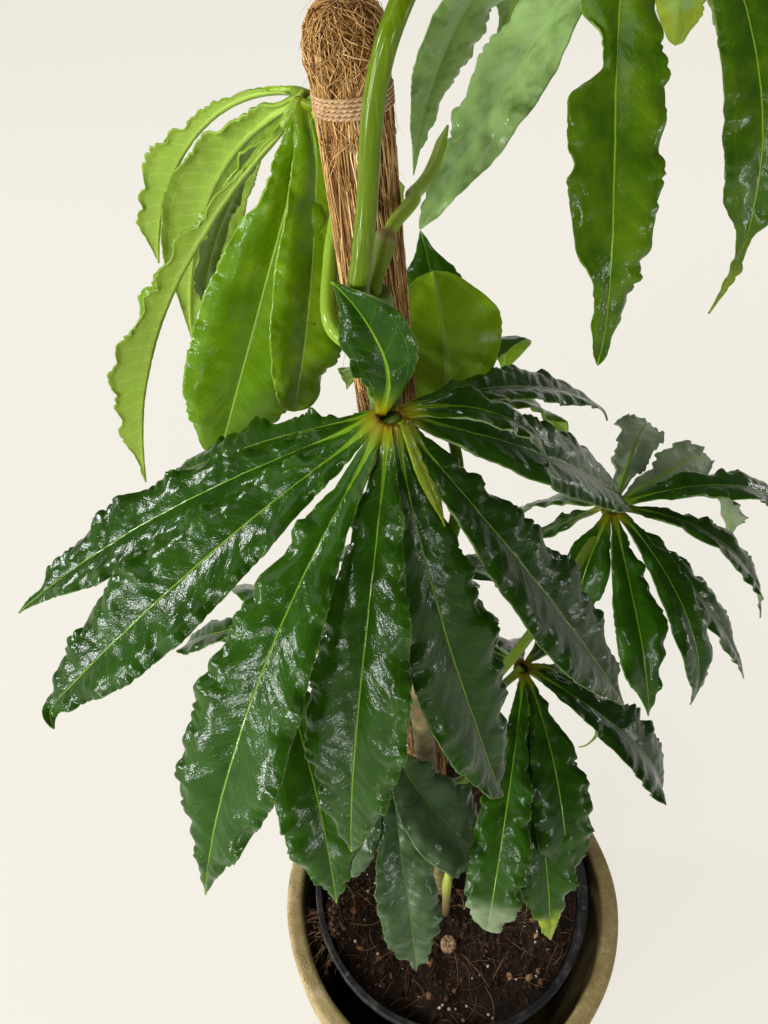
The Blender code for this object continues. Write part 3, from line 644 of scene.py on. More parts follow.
def bladeSheet(leaf, each, random):
    # Half the width is a sine of a power of the length, drawn out at the tip. Across, the halves rise from
    # the midrib to the collective vein and fall past it. Ruffles, side veins and blisters are added waves.
    run = linspace(0, 1, max(24, int(each["length"] / leaf["step"] / each["coarse"])))
    midrib, side, up, aside = midribOf(leaf, each, run, random)
    t = run[:, None]
    x = t * each["length"]
    even = linspace(-1, 1, leaf["columns"])
    s = 0.5 * even + 0.25 * np.sign(even) * (1 - cos(pi * even))   # crowded at midrib and margins
    size = np.abs(s)
    form = np.maximum(0, sin(pi * t ** each["peak"])) ** each["breadth"]
    form = form * (1 - each["taper"] * smoothStep(t, 0.70, 1.0))
    half = each["width"] / 2 * form + blade["rootHalfWidth"] * (1 - 0.85 * smoothStep(t, 0.5, 1))
    full = np.minimum(1, half / blade["flatBelow"])

    def edgeWave(length):
        # A wave along each edge whose length keeps changing
        phase = random.uniform(0, 2 * pi, (4, 2))
        own = length * random.uniform(0.85, 1.2, 2)
        far = np.where(s > 0, x / own[0], x / own[1])
        a, b, c, d = [np.where(s > 0, *pair) for pair in phase]
        return 2 * pi * far + 1.3 * sin(1.7 * far + a) + 0.9 * sin(3.1 * far + b) + c, far + d

    bite = 0
    for where, left, depth, reach in each["bites"]:
        bite = bite + depth * ((s > 0) == left) * bell(t - where, reach, 4)
    ruffled = each["ruffle"] * full
    lobePhase, lobeRun = edgeWave(blade["lobeLength"])
    lobe = np.abs(sin(lobePhase / 2)) ** 0.7 * (0.55 + 0.45 * sin(0.9 * lobeRun)) - 0.4
    wave = sin(edgeWave(blade["waveLength"])[0])
    wave = wave + sin(edgeWave(blade["waveLength"] * 2.1)[0])
    edge = (blade["lobe"] * lobe + blade["wave"] * 0.5 * wave) * ruffled
    spread = half * np.maximum(0.1, 1 - bite) + edge * size ** 2
    ruffle = blade["lobeHeight"] * lobe * smoothStep(size, 0.72, 0.98)
    ruffle = (ruffle + blade["waveHeight"] * 0.6 * wave * size ** 2.4) * ruffled
    collective = blade["collective"]
    inside = np.minimum(size, collective) * spread
    outside = np.maximum(0, size - collective) * spread
    folded = np.radians(each["fold"]) * smoothStep(t, 0, 0.12)
    bent = folded - np.radians(each["flange"])
    across = np.sign(s) * (inside * cos(folded) + outside * cos(bent))
    fold = inside * sin(folded) + outside * sin(bent)
    slant = (x - size * half * blade["quiltSlant"]) / blade["quiltSpacing"]
    slant = slant + 0.25 * sin(3.1 * slant + random.uniform(0, 6))
    window = sin(pi * np.clip(size / collective, 0, 1)) ** 0.8
    quilt = blade["quilt"] * (0.45 + 0.55 * np.abs(sin(pi * slant)) ** 0.8) * window * full
    sheet = s * spread
    blisters = sum(waves(random, lengths, count)(x, sheet * 1.3) * share
                   for lengths, count, share in blade["blisters"])
    blisters = blisters * blade["blister"] * full * (0.4 + size)
    ridge = blade["ridge"] * bell(sheet, blade["ridgeWidth"]) * (1 - 0.6 * t)
    height = fold + ruffle + quilt + blisters + ridge
    middle = midrib[:, None] + side[:, None] * across[..., None] + up[:, None] * height[..., None]
    keel = blade["keel"] * bell(sheet, blade["keelWidth"]) * (1 - 0.7 * t)
    flat = blade["thickness"] / 2 + blade["rootSwell"] * (1 - t) ** 4 + 0 * sheet
    shift, start = each["aged"]
    values = {"across": sheet, "along": x + aside, "rim": size, "margin": (1 - size) * half,
              "aged": shift * smoothStep(t, start, start + 0.12), "tone": random.uniform(0, 1), "stalk": 0.0}
    return closedSheet(middle, (flat, flat + keel + ridge), values)


# What a leaf's paint reads from its points, as it is on a stalk
onStalk = {
    "across": 0.01, "along": 0.2, "rim": 0.5, "margin": 0.01, "aged": 0.0, "under": 0.0, "tone": 0.5,
    "stalk": 1.0,
}


def leafPaint(name, look):
    paint = Paint(name)
    across, along, rim, margin, aged, under, tone, stalk = map(paint.value, onStalk)
    across = abs(across)
    rib, heart = look["rib"], look["heart"]
    mottle = paint.noise(62, 4, 0.6)
    net = paint.cells(650, "DISTANCE_TO_EDGE")
    width = 0.0004 + paint.fade(along, 0.070, 0.004) * paint.fade(along, 0.050, 0.004) * 0.0010
    midrib = paint.fade(across / width, 1.25, 0.70)
    away = along - across * blade["quiltSlant"]
    folds = paint.node("ShaderNodeCombineXYZ", {}, {"X": away * 330, "Y": across * 260, "Z": tone * 40})
    wrinkle = paint.noise(1, 2, 0.6, folds)
    nearVein = paint.maths("PINGPONG", away / blade["quiltSpacing"] + mottle * 0.5, 0.5)
    inner = paint.fade(rim, blade["collective"] + 0.02, blade["collective"] - 0.02)
    collective = paint.fade(abs(rim - blade["collective"]), 0.030, 0.008)
    lines = paint.maths("MAXIMUM", paint.fade(nearVein, 0.060, 0.012) * inner, collective)
    top = paint.layers(look["deep"], (look["light"], paint.fade(mottle + (tone - 0.5) * 0.35, 0.30, 0.72)),
                       (rib, lines * (0.05 + paint.fade(along, 0.060, 0.015) * 0.08)),
                       (rib, paint.fade(margin, 0.0006, 0.0001) * 0.35), (rib, midrib * 0.92))
    below = paint.layers(look["under"], (look["light"], paint.fade(mottle, 0.35, 0.8) * 0.45),
                         (rib, lines * 0.28), (rib, paint.fade(across / width, 2.2, 1.2) * 0.8))
    worn = paint.mix((0.22, 0.30, 0.015), (0.30, 0.20, 0.07), paint.fade(net, 0.2, 0.5))
    streak = paint.noise(900, 2, place=paint.place((1, 1, 0.12)))
    stalkColour = paint.mix(look["stalk"], rib, paint.fade(streak, 0.45, 0.75) * 0.2)
    # Over the blade lie the hub's yellow-green, gold, brown and its pit, painted dark as shade, then pale
    # patches, on some leaflets painted glare, and brown age, then the stalk
    colour = paint.layers(
        top, (below, under),
        ((0.10, 0.17, 0.006), paint.fade(along, 0.019, 0.009) * 0.5),
        ((0.19, 0.15, 0.002), paint.fade(along + mottle * 0.008, 0.0185, 0.0085) * heart * 0.85),
        ((0.10, 0.052, 0.002), paint.fade(along, 0.0074, 0.0042) * heart * 0.8),
        # Painted shade in the hub's pit
        ((0.030, 0.050, 0.002), paint.fade(along, 0.0041, 0.0033) * heart),
        # Below 0, pale patches of the underside's colour, which on some leaflets are painted glare; above 0,
        # brown age
        (look["under"], paint.fade(aged, -0.1, -1) * paint.fade(mottle, 0.1, 0.6)),
        (worn, paint.fade(aged, 0, 1) * paint.fade(mottle + margin * -20, 0.20, 0.48)),
        (stalkColour, stalk))
    relief = (wrinkle * 1.0 + net * 0.4) * (1 - stalk * 0.9) * (1 - midrib * 0.7)
    paint.finish(colour, 0.14 + mottle * 0.12 + under * 0.28, (relief, 0.0004, 0.55), look["shine"])
    paint.set({"Coat Weight": 0.03, "Coat Roughness": 0.15})
    return paint


def makeLeaf(name, leaf, paint, random):
    centre = array(leaf["hub"])
    parts = [bladeSheet(leaf, each, random) for each in leaf["leaflets"]]
    route = smoothRoute([stemPoint(leaf["node"]), *leaf["route"], leaf["hub"]], 14)
    t = linspace(0, 1, len(route))
    # The stalk thins evenly, swells by a bell near each end and has four low ribs
    swell = 1.25 - 0.35 * t + 0.55 * bell(t, 0.10) + 0.30 * bell(t - 1, 0.08)
    ribbed = 1 + 0.035 * cos(4 * around(16))
    parts.append(sweep(route, (leaf["petiole"] * swell)[:, None] * ribbed, 16, onStalk))
    profile = smoothRoute(hub["profile"], 3)
    profile[[0, -1], 0] = 0

    def settle(rings):
        # Outside its pit the hub swells and rises by a bell about each leaflet's turn
        turn = arctan2(rings[..., 1], rings[..., 0])
        ridges = sum(bell(np.angle(exp(1j * (turn - np.radians(each["turn"])))), 0.16)
                     for each in leaf["leaflets"])
        ridges = ridges * smoothStep(hypot(rings[..., 0], rings[..., 1]), hub["pit"], hub["radius"])
        return grown(rings, 1 + 0.15 * ridges, 0.0003 * ridges, centre)
    bulb = lathe(profile, 60, settle)
    out = hypot(*(bulb["points"] - centre)[:, :2].T)
    values = onStalk | {"across": 0.004, "along": out, "rim": 0.3, "stalk": 0.0}
    bulb["values"] = {key: np.zeros(len(out)) + value for key, value in values.items()}
    first, *rest = name.split("_")
    makePiece(first + "".join(word.title() for word in rest), parts + [bulb], paint, name)


def makeLeaves():
    paints = {name: leafPaint(name + "Leaf", look) for name, look in leafLooks.items()}
    for number, (name, leaf) in enumerate(leaves.items()):
        leaf = leafUsual | leaf
        random = np.random.default_rng(40 + number)
        makeLeaf(name, leaf, paints[leaf["look"]], random)


# Young leaf: a green stalk in a brown-tipped sheath, its blade still rolled
youngLeaf = {
    "node": 0.833, "radius": 0.0022, "sheath": 0.0018, "sheathEnd": 0.33, "rolled": 0.0005, "sides": 18,
    "route": [(-0.0462, 0.0130, 0.844), (-0.0430, 0.0150, 0.854), (-0.0388, 0.0183, 0.8612),
              (-0.0320, 0.0320, 0.863), (-0.0305, 0.0500, 0.857), (-0.0252, 0.0690, 0.854),
              (-0.0192, 0.0870, 0.855), (-0.0132, 0.1040, 0.862)],
    "colours": [(0.0, (0.085, 0.15, 0.002)), (0.20, (0.085, 0.13, 0.002)), (0.29, (0.085, 0.12, 0.003)),
                (0.33, (0.16, 0.115, 0.045)), (0.36, (0.18, 0.26, 0.02)), (1.0, (0.20, 0.30, 0.03))],
}


def makeYoungLeaf():
    # The sheath thickens evenly to its end, the rolled blade is half a sine wave, and one ridge winds round
    # both while five run along them
    route = smoothRoute([stemPoint(youngLeaf["node"]), *youngLeaf["route"]], 16)
    t = linspace(0, 1, len(route))
    end = youngLeaf["sheathEnd"]
    sheath = youngLeaf["sheath"] * (0.4 + 0.6 * t / end) * (1 - smoothStep(t, end - 0.015, end + 0.02))
    rolled = youngLeaf["rolled"] * sin(pi * np.clip((t - end) / (1 - end), 0, 1))
    radii = (youngLeaf["radius"] + sheath + rolled) * np.minimum(1, 12 * (1 - t) + 0.25)
    angle = around(youngLeaf["sides"])
    spiral = 1 + 0.10 * cos(angle - 22 * t[:, None]) + 0.03 * cos(5 * angle)
    part = sweep(route, radii[:, None] * spiral, len(angle), {"along": t})
    paint = Paint("youngLeafPaint")
    grain = paint.noise(500, 3, place=paint.place((1, 0.2, 1)))
    colour = paint.mix(paint.ramp(paint.value("along"), youngLeaf["colours"]), (0.20, 0.22, 0.06),
                       paint.fade(grain, 0.5, 0.8) * 0.2)
    paint.finish(colour, 0.42, (grain, 0.0003, 0.7), 0.12)
    makePiece("leafYoung", [part], paint, "leaf_young")


# Coir pole: a dark core under strands that mostly run lengthwise
pole = {
    "foot": (0.004, 0.022, 0.060), "top": (-0.0525, 0.038, 0.923), "radius": 0.0125, "neck": 0.0119,
    "tieBelowTop": 0.027, "sides": 40,
    # radius and distance below the top: the dome, the head, the neck under the tie and the pole's start
    "outline": [(0, 0), (0.0070, 0.0012), (0.0112, 0.0045), (0.0134, 0.0110), (0.0134, 0.0170),
                (0.0119, 0.0230), (0.0119, 0.0310), (0.0125, 0.0410), (0.0125, 0.0770)],
    # count, length, slope from lengthwise, height over the core, radius, where along the pole, end's flare
    "strands": [(1848, (0.03, 0.13), (0.0, 0.13), (-0.0006, 0.0003), (0.00014, 0.00032)),
                (352, (0.015, 0.05), (0.3, 1.4), (0.0, 0.0006), (0.00010, 0.00022)),
                (420, (0.014, 0.05), (0.0, 1.2), (-0.0004, 0.0008), (0.00012, 0.00028), (-0.006, 0.035)),
                (70, (0.02, 0.05), (0.1, 1.0), (0.0, 0.0004), (0.00006, 0.00012), (0.0, 0.70),
                 (0.001, 0.006))],
    "colours": [(0.0, (0.035, 0.014, 0.004)), (0.25, (0.16, 0.068, 0.015)), (0.50, (0.38, 0.20, 0.055)),
                (0.75, (0.58, 0.36, 0.14)), (1.0, (0.80, 0.60, 0.32))],
}


poleLength = np.linalg.norm(array(pole["top"]) - pole["foot"])


def byPole(height, radius, angle):
    # The places at a height along the leaning pole's axis, a distance from it and a turn about it
    foot = array(pole["foot"])
    axis = (array(pole["top"]) - foot) / poleLength
    across = unit(np.cross(axis, [0.0, 1.0, 0.0]))
    spoke = across * cos(angle)[..., None] + np.cross(axis, across) * sin(angle)[..., None]
    return foot + axis * height[..., None] + spoke * radius[..., None]


def makePole():
    random = np.random.default_rng(7)
    corners = [(radius, poleLength - below) for radius, below in pole["outline"]] + [(pole["radius"], 0)]
    profile = smoothRoute(corners, 8)
    run = concatenate([[0], np.cumsum(np.linalg.norm(np.diff(profile, axis=0), axis=1))])

    def onPole(travel, angle, lift):
        # Travel is measured along the outline from the top, and is negative on the other side
        far, way = np.abs(travel), np.sign(travel)
        radius = (np.interp(far, run, profile[:, 0]) + lift) * way
        height = np.interp(far, run, profile[:, 1]) + np.where(far < 0.012, lift, 0) * 0.7
        return byPole(height, radius, angle)

    wobble = waves(random, (0.004, 0.012), 8)

    def roughen(rings):
        x, y, z = np.moveaxis(rings, -1, 0)
        turn = arctan2(y, x)
        return byPole(z, hypot(x, y) * (0.95 + 0.025 * wobble(turn * pole["radius"], z)), turn)
    # Down the shaft the rings are closer than in the outline's last stretch, which they replace
    shaft = stack([np.full(40, pole["radius"]), linspace(profile[-9, 1], 0, 40)], -1)
    dense = smoothRoute(np.vstack([profile[:-8], shaft, (0, 0)]), 2)
    dense[-2:, 0] = [pole["radius"], 0]

    def strands(count, lengths, slopes, lifts, radii, span=(0.0, 0.70), flare=None):
        # A strand leaves its start at a slope, sways and lifts by sine waves and thins towards its end
        draw = drawer(random, count)
        start = draw(*span)
        angle = draw(0, 2 * pi)
        size = draw(*lengths)
        slope = draw(*slopes) * random.choice([-1, 1], count)[:, None]
        t = linspace(0, 1, 7)
        sway = draw(0.03, 0.12) * sin(draw(4, 11) * t + draw(0, 6))
        travel = start + size * t * cos(slope) - 0.012
        travel = np.where(np.abs(travel) < 1e-5, 1e-5, travel)
        turn = angle + size * t * sin(slope) / pole["radius"] + sway
        lift = draw(*lifts) + 0.00022 * sin(draw(6, 16) * t + draw(0, 6))
        if flare:
            lift = lift + draw(*flare) * t ** 2.5
        radius = draw(*radii) * (1 - 0.5 * t ** 4)
        return sweep(onPole(travel, turn, lift), radius, 3, {"tone": draw(0.1, 1)})

    parts = [lathe(dense, pole["sides"], roughen, {"tone": 0.06})]
    parts += [strands(*row) for row in pole["strands"]]
    paint = Paint("coirPaint")
    patch = paint.noise(140, 3)
    colour = paint.ramp(paint.value("tone") * 0.75 + patch * 0.4 - 0.08, pole["colours"])
    paint.finish(colour, 0.62, shine=0.15)
    makePiece("coirPole", parts, paint, "coir_pole")


# Twine: turns of two-ply jute round the neck
twine = {"turns": 5, "pitch": 0.00132, "ply": 0.00044, "lay": 0.0042, "offNeck": 0.0010}


def makeTwine():
    # A helix round the neck, and round it two plies half a turn apart
    radius = pole["neck"] + twine["offNeck"]
    angle = linspace(0, 2 * pi * twine["turns"], 90 * twine["turns"])
    height = poleLength - pole["tieBelowTop"] + (angle / (2 * pi) - twine["turns"] / 2) * twine["pitch"]
    apart = twine["ply"] * 0.8
    plies = []
    for start in (0, pi):
        twist = angle * radius / twine["lay"] * 2 * pi + start
        plies.append(byPole(height + apart * sin(twist), radius + apart * cos(twist), angle))
    part = sweep(plies, np.full((2, len(angle)), twine["ply"]), 7, {"tone": 0.5})
    paint = Paint("jutePaint")
    grain = paint.noise(1500, 3)
    patch = paint.noise(220, 2)
    pale = paint.fade(grain * 0.6 + patch * 0.4, 0.32, 0.66)
    colour = paint.mix((0.25, 0.13, 0.05), (0.52, 0.34, 0.18), pale)
    paint.finish(colour, 0.85, (grain, 0.0003))
    makePiece("poleTwine", [part], paint, "pole_twine")


# Climbing stem with its rings and aerial roots
stem = {
    "radius": 0.0070, "ring": 0.0006, "gap": 0.0006, "foot": 0.120, "top": 0.838, "rows": 420, "sides": 24,
    "bareNodes": [0.310, 0.355, 0.505, 0.635, 0.750], "ringWidth": 0.0032, "groove": 0.0005,
    "grooveAway": 0.0052, "grooveWidth": 0.0009, "roots": 12, "rootsBelow": 0.60, "rootRadius": 0.0014,
}


def stemPoint(height):
    # The stem climbs the front of the pole, a hair away from it
    foot, top = array(pole["foot"]), array(pole["top"])
    axis = foot + (top - foot) * ((height - foot[2]) / (top[2] - foot[2]))
    return axis - array([0, pole["radius"] + stem["radius"] + stem["ring"] + stem["gap"], 0])


def makeStem():
    random = np.random.default_rng(11)
    nodes = [leaf["node"] for leaf in [*leaves.values(), youngLeaf]]
    nodes = array(sorted(nodes + stem["bareNodes"]))
    # The radius rises by a bell at each node and falls by a narrow one on both sides of it, and waves
    # roughen it
    height = linspace(stem["foot"], stem["top"], stem["rows"])
    away = np.abs(height[:, None] - nodes)
    ring = stem["ring"] * 1.2 * bell(away, stem["ringWidth"]).sum(1)
    groove = stem["groove"] * bell(away - stem["grooveAway"], stem["grooveWidth"]).sum(1)
    rough = waves(random, (0.004, 0.02), 9)(height[:, None], around(stem["sides"]) * stem["radius"])
    radii = (stem["radius"] - 0.0004 + ring - groove)[:, None] + 0.00022 * rough
    path = [stemPoint(each) for each in height]
    parts = [sweep(path, radii, stem["sides"], {"ring": bell(away, 0.006).sum(1), "root": 0.0,
                                                "young": smoothStep(height, 0.70, 0.79)})]
    low = nodes[nodes < stem["rootsBelow"]]
    toPole = pole["radius"] + stem["radius"]
    # A root falls from a node while it swings round the stem, by a sine and a cosine, to the pole
    t = linspace(0, 1, 26)[:, None]
    for number in range(stem["roots"]):
        node = low[number % len(low)]
        side = 1 if number % 2 else -1
        fall = random.uniform(0.035, 0.085)
        swing = 0.4 + t * random.uniform(1.4, 2.4)
        reach = toPole + 0.0012 - smoothStep(t, 0.0, 0.4) * (stem["radius"] - 0.0012)
        centre = stemPoint(node) + (stemPoint(node - fall) - stemPoint(node)) * t ** 1.3
        centre = centre + array([0, toPole + stem["ring"] + stem["gap"], 0])
        route = centre + concatenate([side * sin(swing) * reach * smoothStep(t, 0, 0.22), -cos(swing) * reach,
                                      0 * t], -1)
        route = route + random.normal(0, 0.00012, route.shape)
        parts.append(sweep(route, stem["rootRadius"] * (1 - 0.5 * t[:, 0]), 8,
                           {"ring": 0.4, "root": 1.0, "young": 0.0}))
    paint = Paint("stemPaint")
    grain = paint.noise(420, 4, 0.6, paint.place((1, 1, 0.25)))
    patch = paint.noise(70, 3)
    colour = paint.layers((0.075, 0.085, 0.018), ((0.20, 0.15, 0.05), paint.fade(patch, 0.35, 0.65)),
                          ((0.13, 0.065, 0.025), paint.value("ring") * 0.55),
                          ((0.20, 0.115, 0.05), paint.value("root")),
                          ((0.34, 0.24, 0.12), paint.fade(grain, 0.56, 0.78) * 0.5),
                          ((0.085, 0.150, 0.010), paint.value("young") * 0.85))
    paint.finish(colour, 0.55 + patch * 0.2, (grain, 0.0006, 0.8))
    makePiece("mainStem", parts, paint, "main_stem")


# New shoot with its sheath
shoot = {
    "route": [(-0.006, -0.016, 0.150), (-0.006, -0.016, 0.262), (-0.006, -0.012, 0.305),
              (-0.005, -0.007, 0.352)],
    "radii": (0.0035, 0.0035, 0.0042, 0.0010),
}


def makeShoot():
    # The radius goes evenly from one given value to the next; the wrap's ridge winds round, six run along
    route = smoothRoute(shoot["route"], 24)
    t = linspace(0, 1, len(route))
    radii = np.interp(t, linspace(0, 1, 4), shoot["radii"])
    angle = around(16)
    wrap = 1 + 0.07 * cos(angle - 9 * t[:, None]) + 0.02 * cos(6 * angle)
    part = sweep(route, radii[:, None] * wrap, 16, {"along": t})
    paint = Paint("shootPaint")
    grain = paint.noise(900, 3, place=paint.place((1, 1, 0.15)))
    colour = paint.ramp(paint.value("along"), [(0.0, (0.10, 0.06, 0.03)), (0.45, (0.14, 0.11, 0.04)),
                                               (0.70, (0.26, 0.28, 0.05)), (1.0, (0.40, 0.48, 0.06))])
    colour = paint.mix(colour, (0.42, 0.36, 0.16), paint.fade(grain, 0.55, 0.8) * 0.5)
    paint.finish(colour, 0.4, (grain, 0.0003))
    makePiece("newShoot", [part], paint, "new_shoot")


# Stub of an old stem
stub = {
    "place": (-0.006, -0.043), "foot": 0.170, "top": 0.256, "radius": 0.0065,
    # share of the radius and millimetres above the top, from the sunk heart over the worn edge
    "outline": [(0, 0), (0.3, -0.3), (0.55, 0.25), (0.8, 0.0), (0.97, -0.5), (1.0, -2.2), (0.98, -6),
                (1.0, -12)],
}


def makeStub():
    foot, top, size = stub["foot"], stub["top"], stub["radius"]
    profile = [(size * radius, top + 0.001 * above) for radius, above in stub["outline"]]
    profile += [(size, foot), (0, foot)]
    rough = waves(np.random.default_rng(3), (0.003, 0.009), 7)

    def weather(rings):
        # Waves push the side out and in, and others lift the cut end
        x, y, z = np.moveaxis(rings, -1, 0)
        worn = 0.0005 * rough(x * 1.5, y * 1.5) * (z > top - 0.001)
        return grown(rings, 1 + 0.03 * rough(arctan2(y, x) * size, z), worn, array([*stub["place"], 0]))
    paint = Paint("cutWood")
    rings = paint.noise(700, 3)
    paint.finish(paint.mix((0.13, 0.07, 0.03), (0.42, 0.27, 0.13), paint.fade(rings, 0.35, 0.65)), 0.8,
                 (rings, 0.0006))
    makePiece("cutStub", [lathe(profile, 36, weather)], paint, "cut_stub")


# Planter of stoneware, with a thick wall and a rounded rim
planter = {
    "height": 0.252, "rim": 0.146, "foot": 0.122, "wall": 0.0145, "floor": 0.012, "dent": 0.00045,
    "throwingMark": 0.00012, "unevenRim": 0.0003,
}


def makePlanter():
    random = np.random.default_rng(21)
    height, rim, foot, wall, floor = (planter[key] for key in ("height", "rim", "foot", "wall", "floor"))
    waist = height * 0.72
    corners = [(0, floor), (foot - wall, floor), (foot - wall + 0.010, floor + 0.012), (rim - wall, waist),
               (rim - wall, height), (rim, height), (rim + 0.001, waist), (foot + 0.010, 0.030),
               (foot, 0.004), (foot - 0.004, 0), (0, 0)]
    sizes = [0.004, 0.03, 0.05, 0.0045, 0.0055, 0.06, 0.03, 0.006, 0.003]
    dents = waves(random, (0.05, 0.16), 8)
    throwing = waves(random, (0.008, 0.02), 6)

    def handMade(rings):
        # Broad waves and fine ones push the wall out and in, and the rim dips by a sine, six times round
        x, y, z = np.moveaxis(rings, -1, 0)
        turn, out = arctan2(y, x), hypot(x, y)
        dent = planter["dent"] * dents(turn * rim, z) + planter["throwingMark"] * throwing(z, 0.02 * turn)
        dent = dent * np.clip(z / 0.01, 0, 1) * np.clip(out / 0.05, 0, 1)
        lift = planter["unevenRim"] * sin(3 * turn + 1) * smoothStep(z, height * 0.8, height)
        return grown(rings, 1 + dent / np.maximum(out, 0.01), -np.abs(lift))
    part = lathe(divided(rounded(corners, sizes, 8), 0.006), 120, handMade)
    paint = Paint("stonewarePaint")
    cloud = paint.noise(14, 5, 0.6)
    streaks = paint.noise(60, 4, 0.65, paint.place((1, 1, 0.18)))
    grit = paint.noise(480, 3, 0.7)
    specks = paint.fade(paint.cells(420), 0.34, 0.12) * paint.fade(paint.noise(160, 2), 0.50, 0.60)
    chalk = paint.fade(paint.cells(260), 0.16, 0.06) * paint.fade(cloud, 0.42, 0.6)
    colour = paint.layers((0.20, 0.140, 0.042),
                          ((0.39, 0.295, 0.125), paint.fade(cloud * 0.55 + streaks * 0.5, 0.38, 0.68)),
                          ((0.50, 0.42, 0.27), paint.fade(streaks, 0.56, 0.74) * 0.5),
                          ((0.09, 0.06, 0.025), paint.fade(grit, 0.58, 0.72) * 0.5),
                          ((0.055, 0.035, 0.015), specks * 0.75), ((0.70, 0.64, 0.50), chalk * 0.7))
    paint.finish(colour, 0.50 + streaks * 0.3, (grit + streaks * 0.8 + specks * -0.4, 0.0010, 0.7), 0.4)
    makePiece("planterClay", [part], paint, "planter")


# Nursery pot, thin and tapered, with a lip and drain holes, and set back in the planter
nursery = {
    "centre": (0.0, 0.008), "height": 0.250, "rim": 0.120, "foot": 0.096, "wall": 0.0016, "lip": 0.004,
    "lipDepth": 0.009, "fit": 0.0003, "holes": 6, "holeRadius": 0.006, "holeCircle": 0.066,
    "holeSides": 20, "sag": 0.0005,
}
nurseryBase = array([*nursery["centre"], planter["floor"] + nursery["fit"]])


def nurseryInside(height):
    # The wall's inner radius goes evenly from the foot to the rim
    share = height / nursery["height"]
    rim = nursery["rim"] - nursery["lip"]
    return nursery["foot"] + (rim - nursery["foot"]) * share - nursery["wall"]


def makeNurseryPot():
    top, wall, rim = nursery["height"], nursery["wall"], nursery["rim"]
    under = top - nursery["lipDepth"]
    corners = [(0, wall), (nurseryInside(wall), wall), (nurseryInside(top), top), (rim - 0.0004, top),
               (rim, under), (rim - 0.0014, under), (nurseryInside(under) + wall, under + 0.001),
               (nursery["foot"], 0), (0, 0)]
    sizes = [0.003, 0.0006, 0.0012, 0.0004, 0.0003, 0.0004, 0.003]

    def sagging(rings):
        # Towards the rim the wall goes out and in by a sine, twice round
        x, y, z = np.moveaxis(rings, -1, 0)
        sag = nursery["sag"] * sin(2 * arctan2(y, x) + 0.6) * smoothStep(z, top * 0.6, top)
        return grown(rings, 1 + sag / np.maximum(hypot(x, y), 0.01), base=nurseryBase)
    part = lathe(divided(rounded(corners, sizes, 5), 0.012), 110, sagging)
    paint = Paint("potPlastic")
    dust = paint.noise(90, 5, 0.7)
    scuffs = paint.noise(700, 3, place=paint.place((0.25, 0.25, 1)))
    colour = paint.layers((0.010, 0.010, 0.011), ((0.060, 0.055, 0.048), paint.fade(dust, 0.45, 0.75)),
                          ((0.16, 0.15, 0.14), paint.fade(scuffs, 0.62, 0.78) * 0.5))
    paint.finish(colour, 0.32 + dust * 0.35, (scuffs, 0.0003, 0.5), 0.2)
    drill(makePiece("nurseryPot", [part], paint, "nursery_pot"))


def drill(piece):
    # Round drain holes through the floor
    mesh = bpy.data.meshes.new("drill")
    points, faces = [], []
    sides = nursery["holeSides"]
    ring = stack([cos(around(sides)), sin(around(sides)), np.zeros(sides)], -1) * nursery["holeRadius"]
    for angle in around(nursery["holes"]):
        first = len(points)
        out = array([cos(angle), sin(angle), 0]) * nursery["holeCircle"]
        for height in (-0.01, 0.01):
            points += (nurseryBase + out + ring + [0, 0, height]).tolist()
        faces.append(list(range(first + sides - 1, first - 1, -1)))
        faces.append(list(range(first + sides, first + 2 * sides)))
        for k in range(sides):
            beside = (k + 1) % sides
            faces.append([first + k, first + beside, first + sides + beside, first + sides + k])
    mesh.from_pydata(points, [], faces)
    cutter = addObject("drill", mesh)
    cut = piece.modifiers.new("drain", "BOOLEAN")
    cut.object = cutter
    cut.solver = "EXACT"
    bpy.context.view_layer.update()
    graph = bpy.context.evaluated_depsgraph_get()
    drilled = bpy.data.meshes.new_from_object(piece.evaluated_get(graph))
    piece.modifiers.remove(cut)
    piece.data = drilled
    bpy.data.objects.remove(cutter)


# Soil: a lumpy top with crumbs, coir fibres, bark and perlite, and a clump of it on the pot's left rim
soil = {
    "rings": 76, "sides": 200, "belowRim": 0.015, "gap": 0.0005, "crumbs": 2300, "fibres": 620,
    # bark, then perlite: count, height over the soil, and the bounds of size, squash and hue
    "chips": [(60, 0.0006, ((0.002, 0.0048), (0.25, 0.5), (0.30, 0.72))),
              (110, 0.0004, ((0.0006, 0.0017), (0.7, 1), (0.90, 1.0)))],
    "heapPlace": (-0.100, -0.030), "heapSize": (0.020, 0.026), "heapHeight": 0.016, "clump": 150,
    "clumpPlace": (-0.103, -0.034), "hanging": 60, "hangingPlace": (-0.106, -0.034),
    "colours": [(0.0, (0.010, 0.0055, 0.003)), (0.10, (0.036, 0.019, 0.0105)), (0.24, (0.088, 0.044, 0.024)),
                (0.42, (0.12, 0.052, 0.024)), (0.62, (0.30, 0.15, 0.07)), (0.80, (0.46, 0.29, 0.15)),
                (0.92, (0.78, 0.74, 0.66)), (1.0, (0.88, 0.86, 0.80))],
}


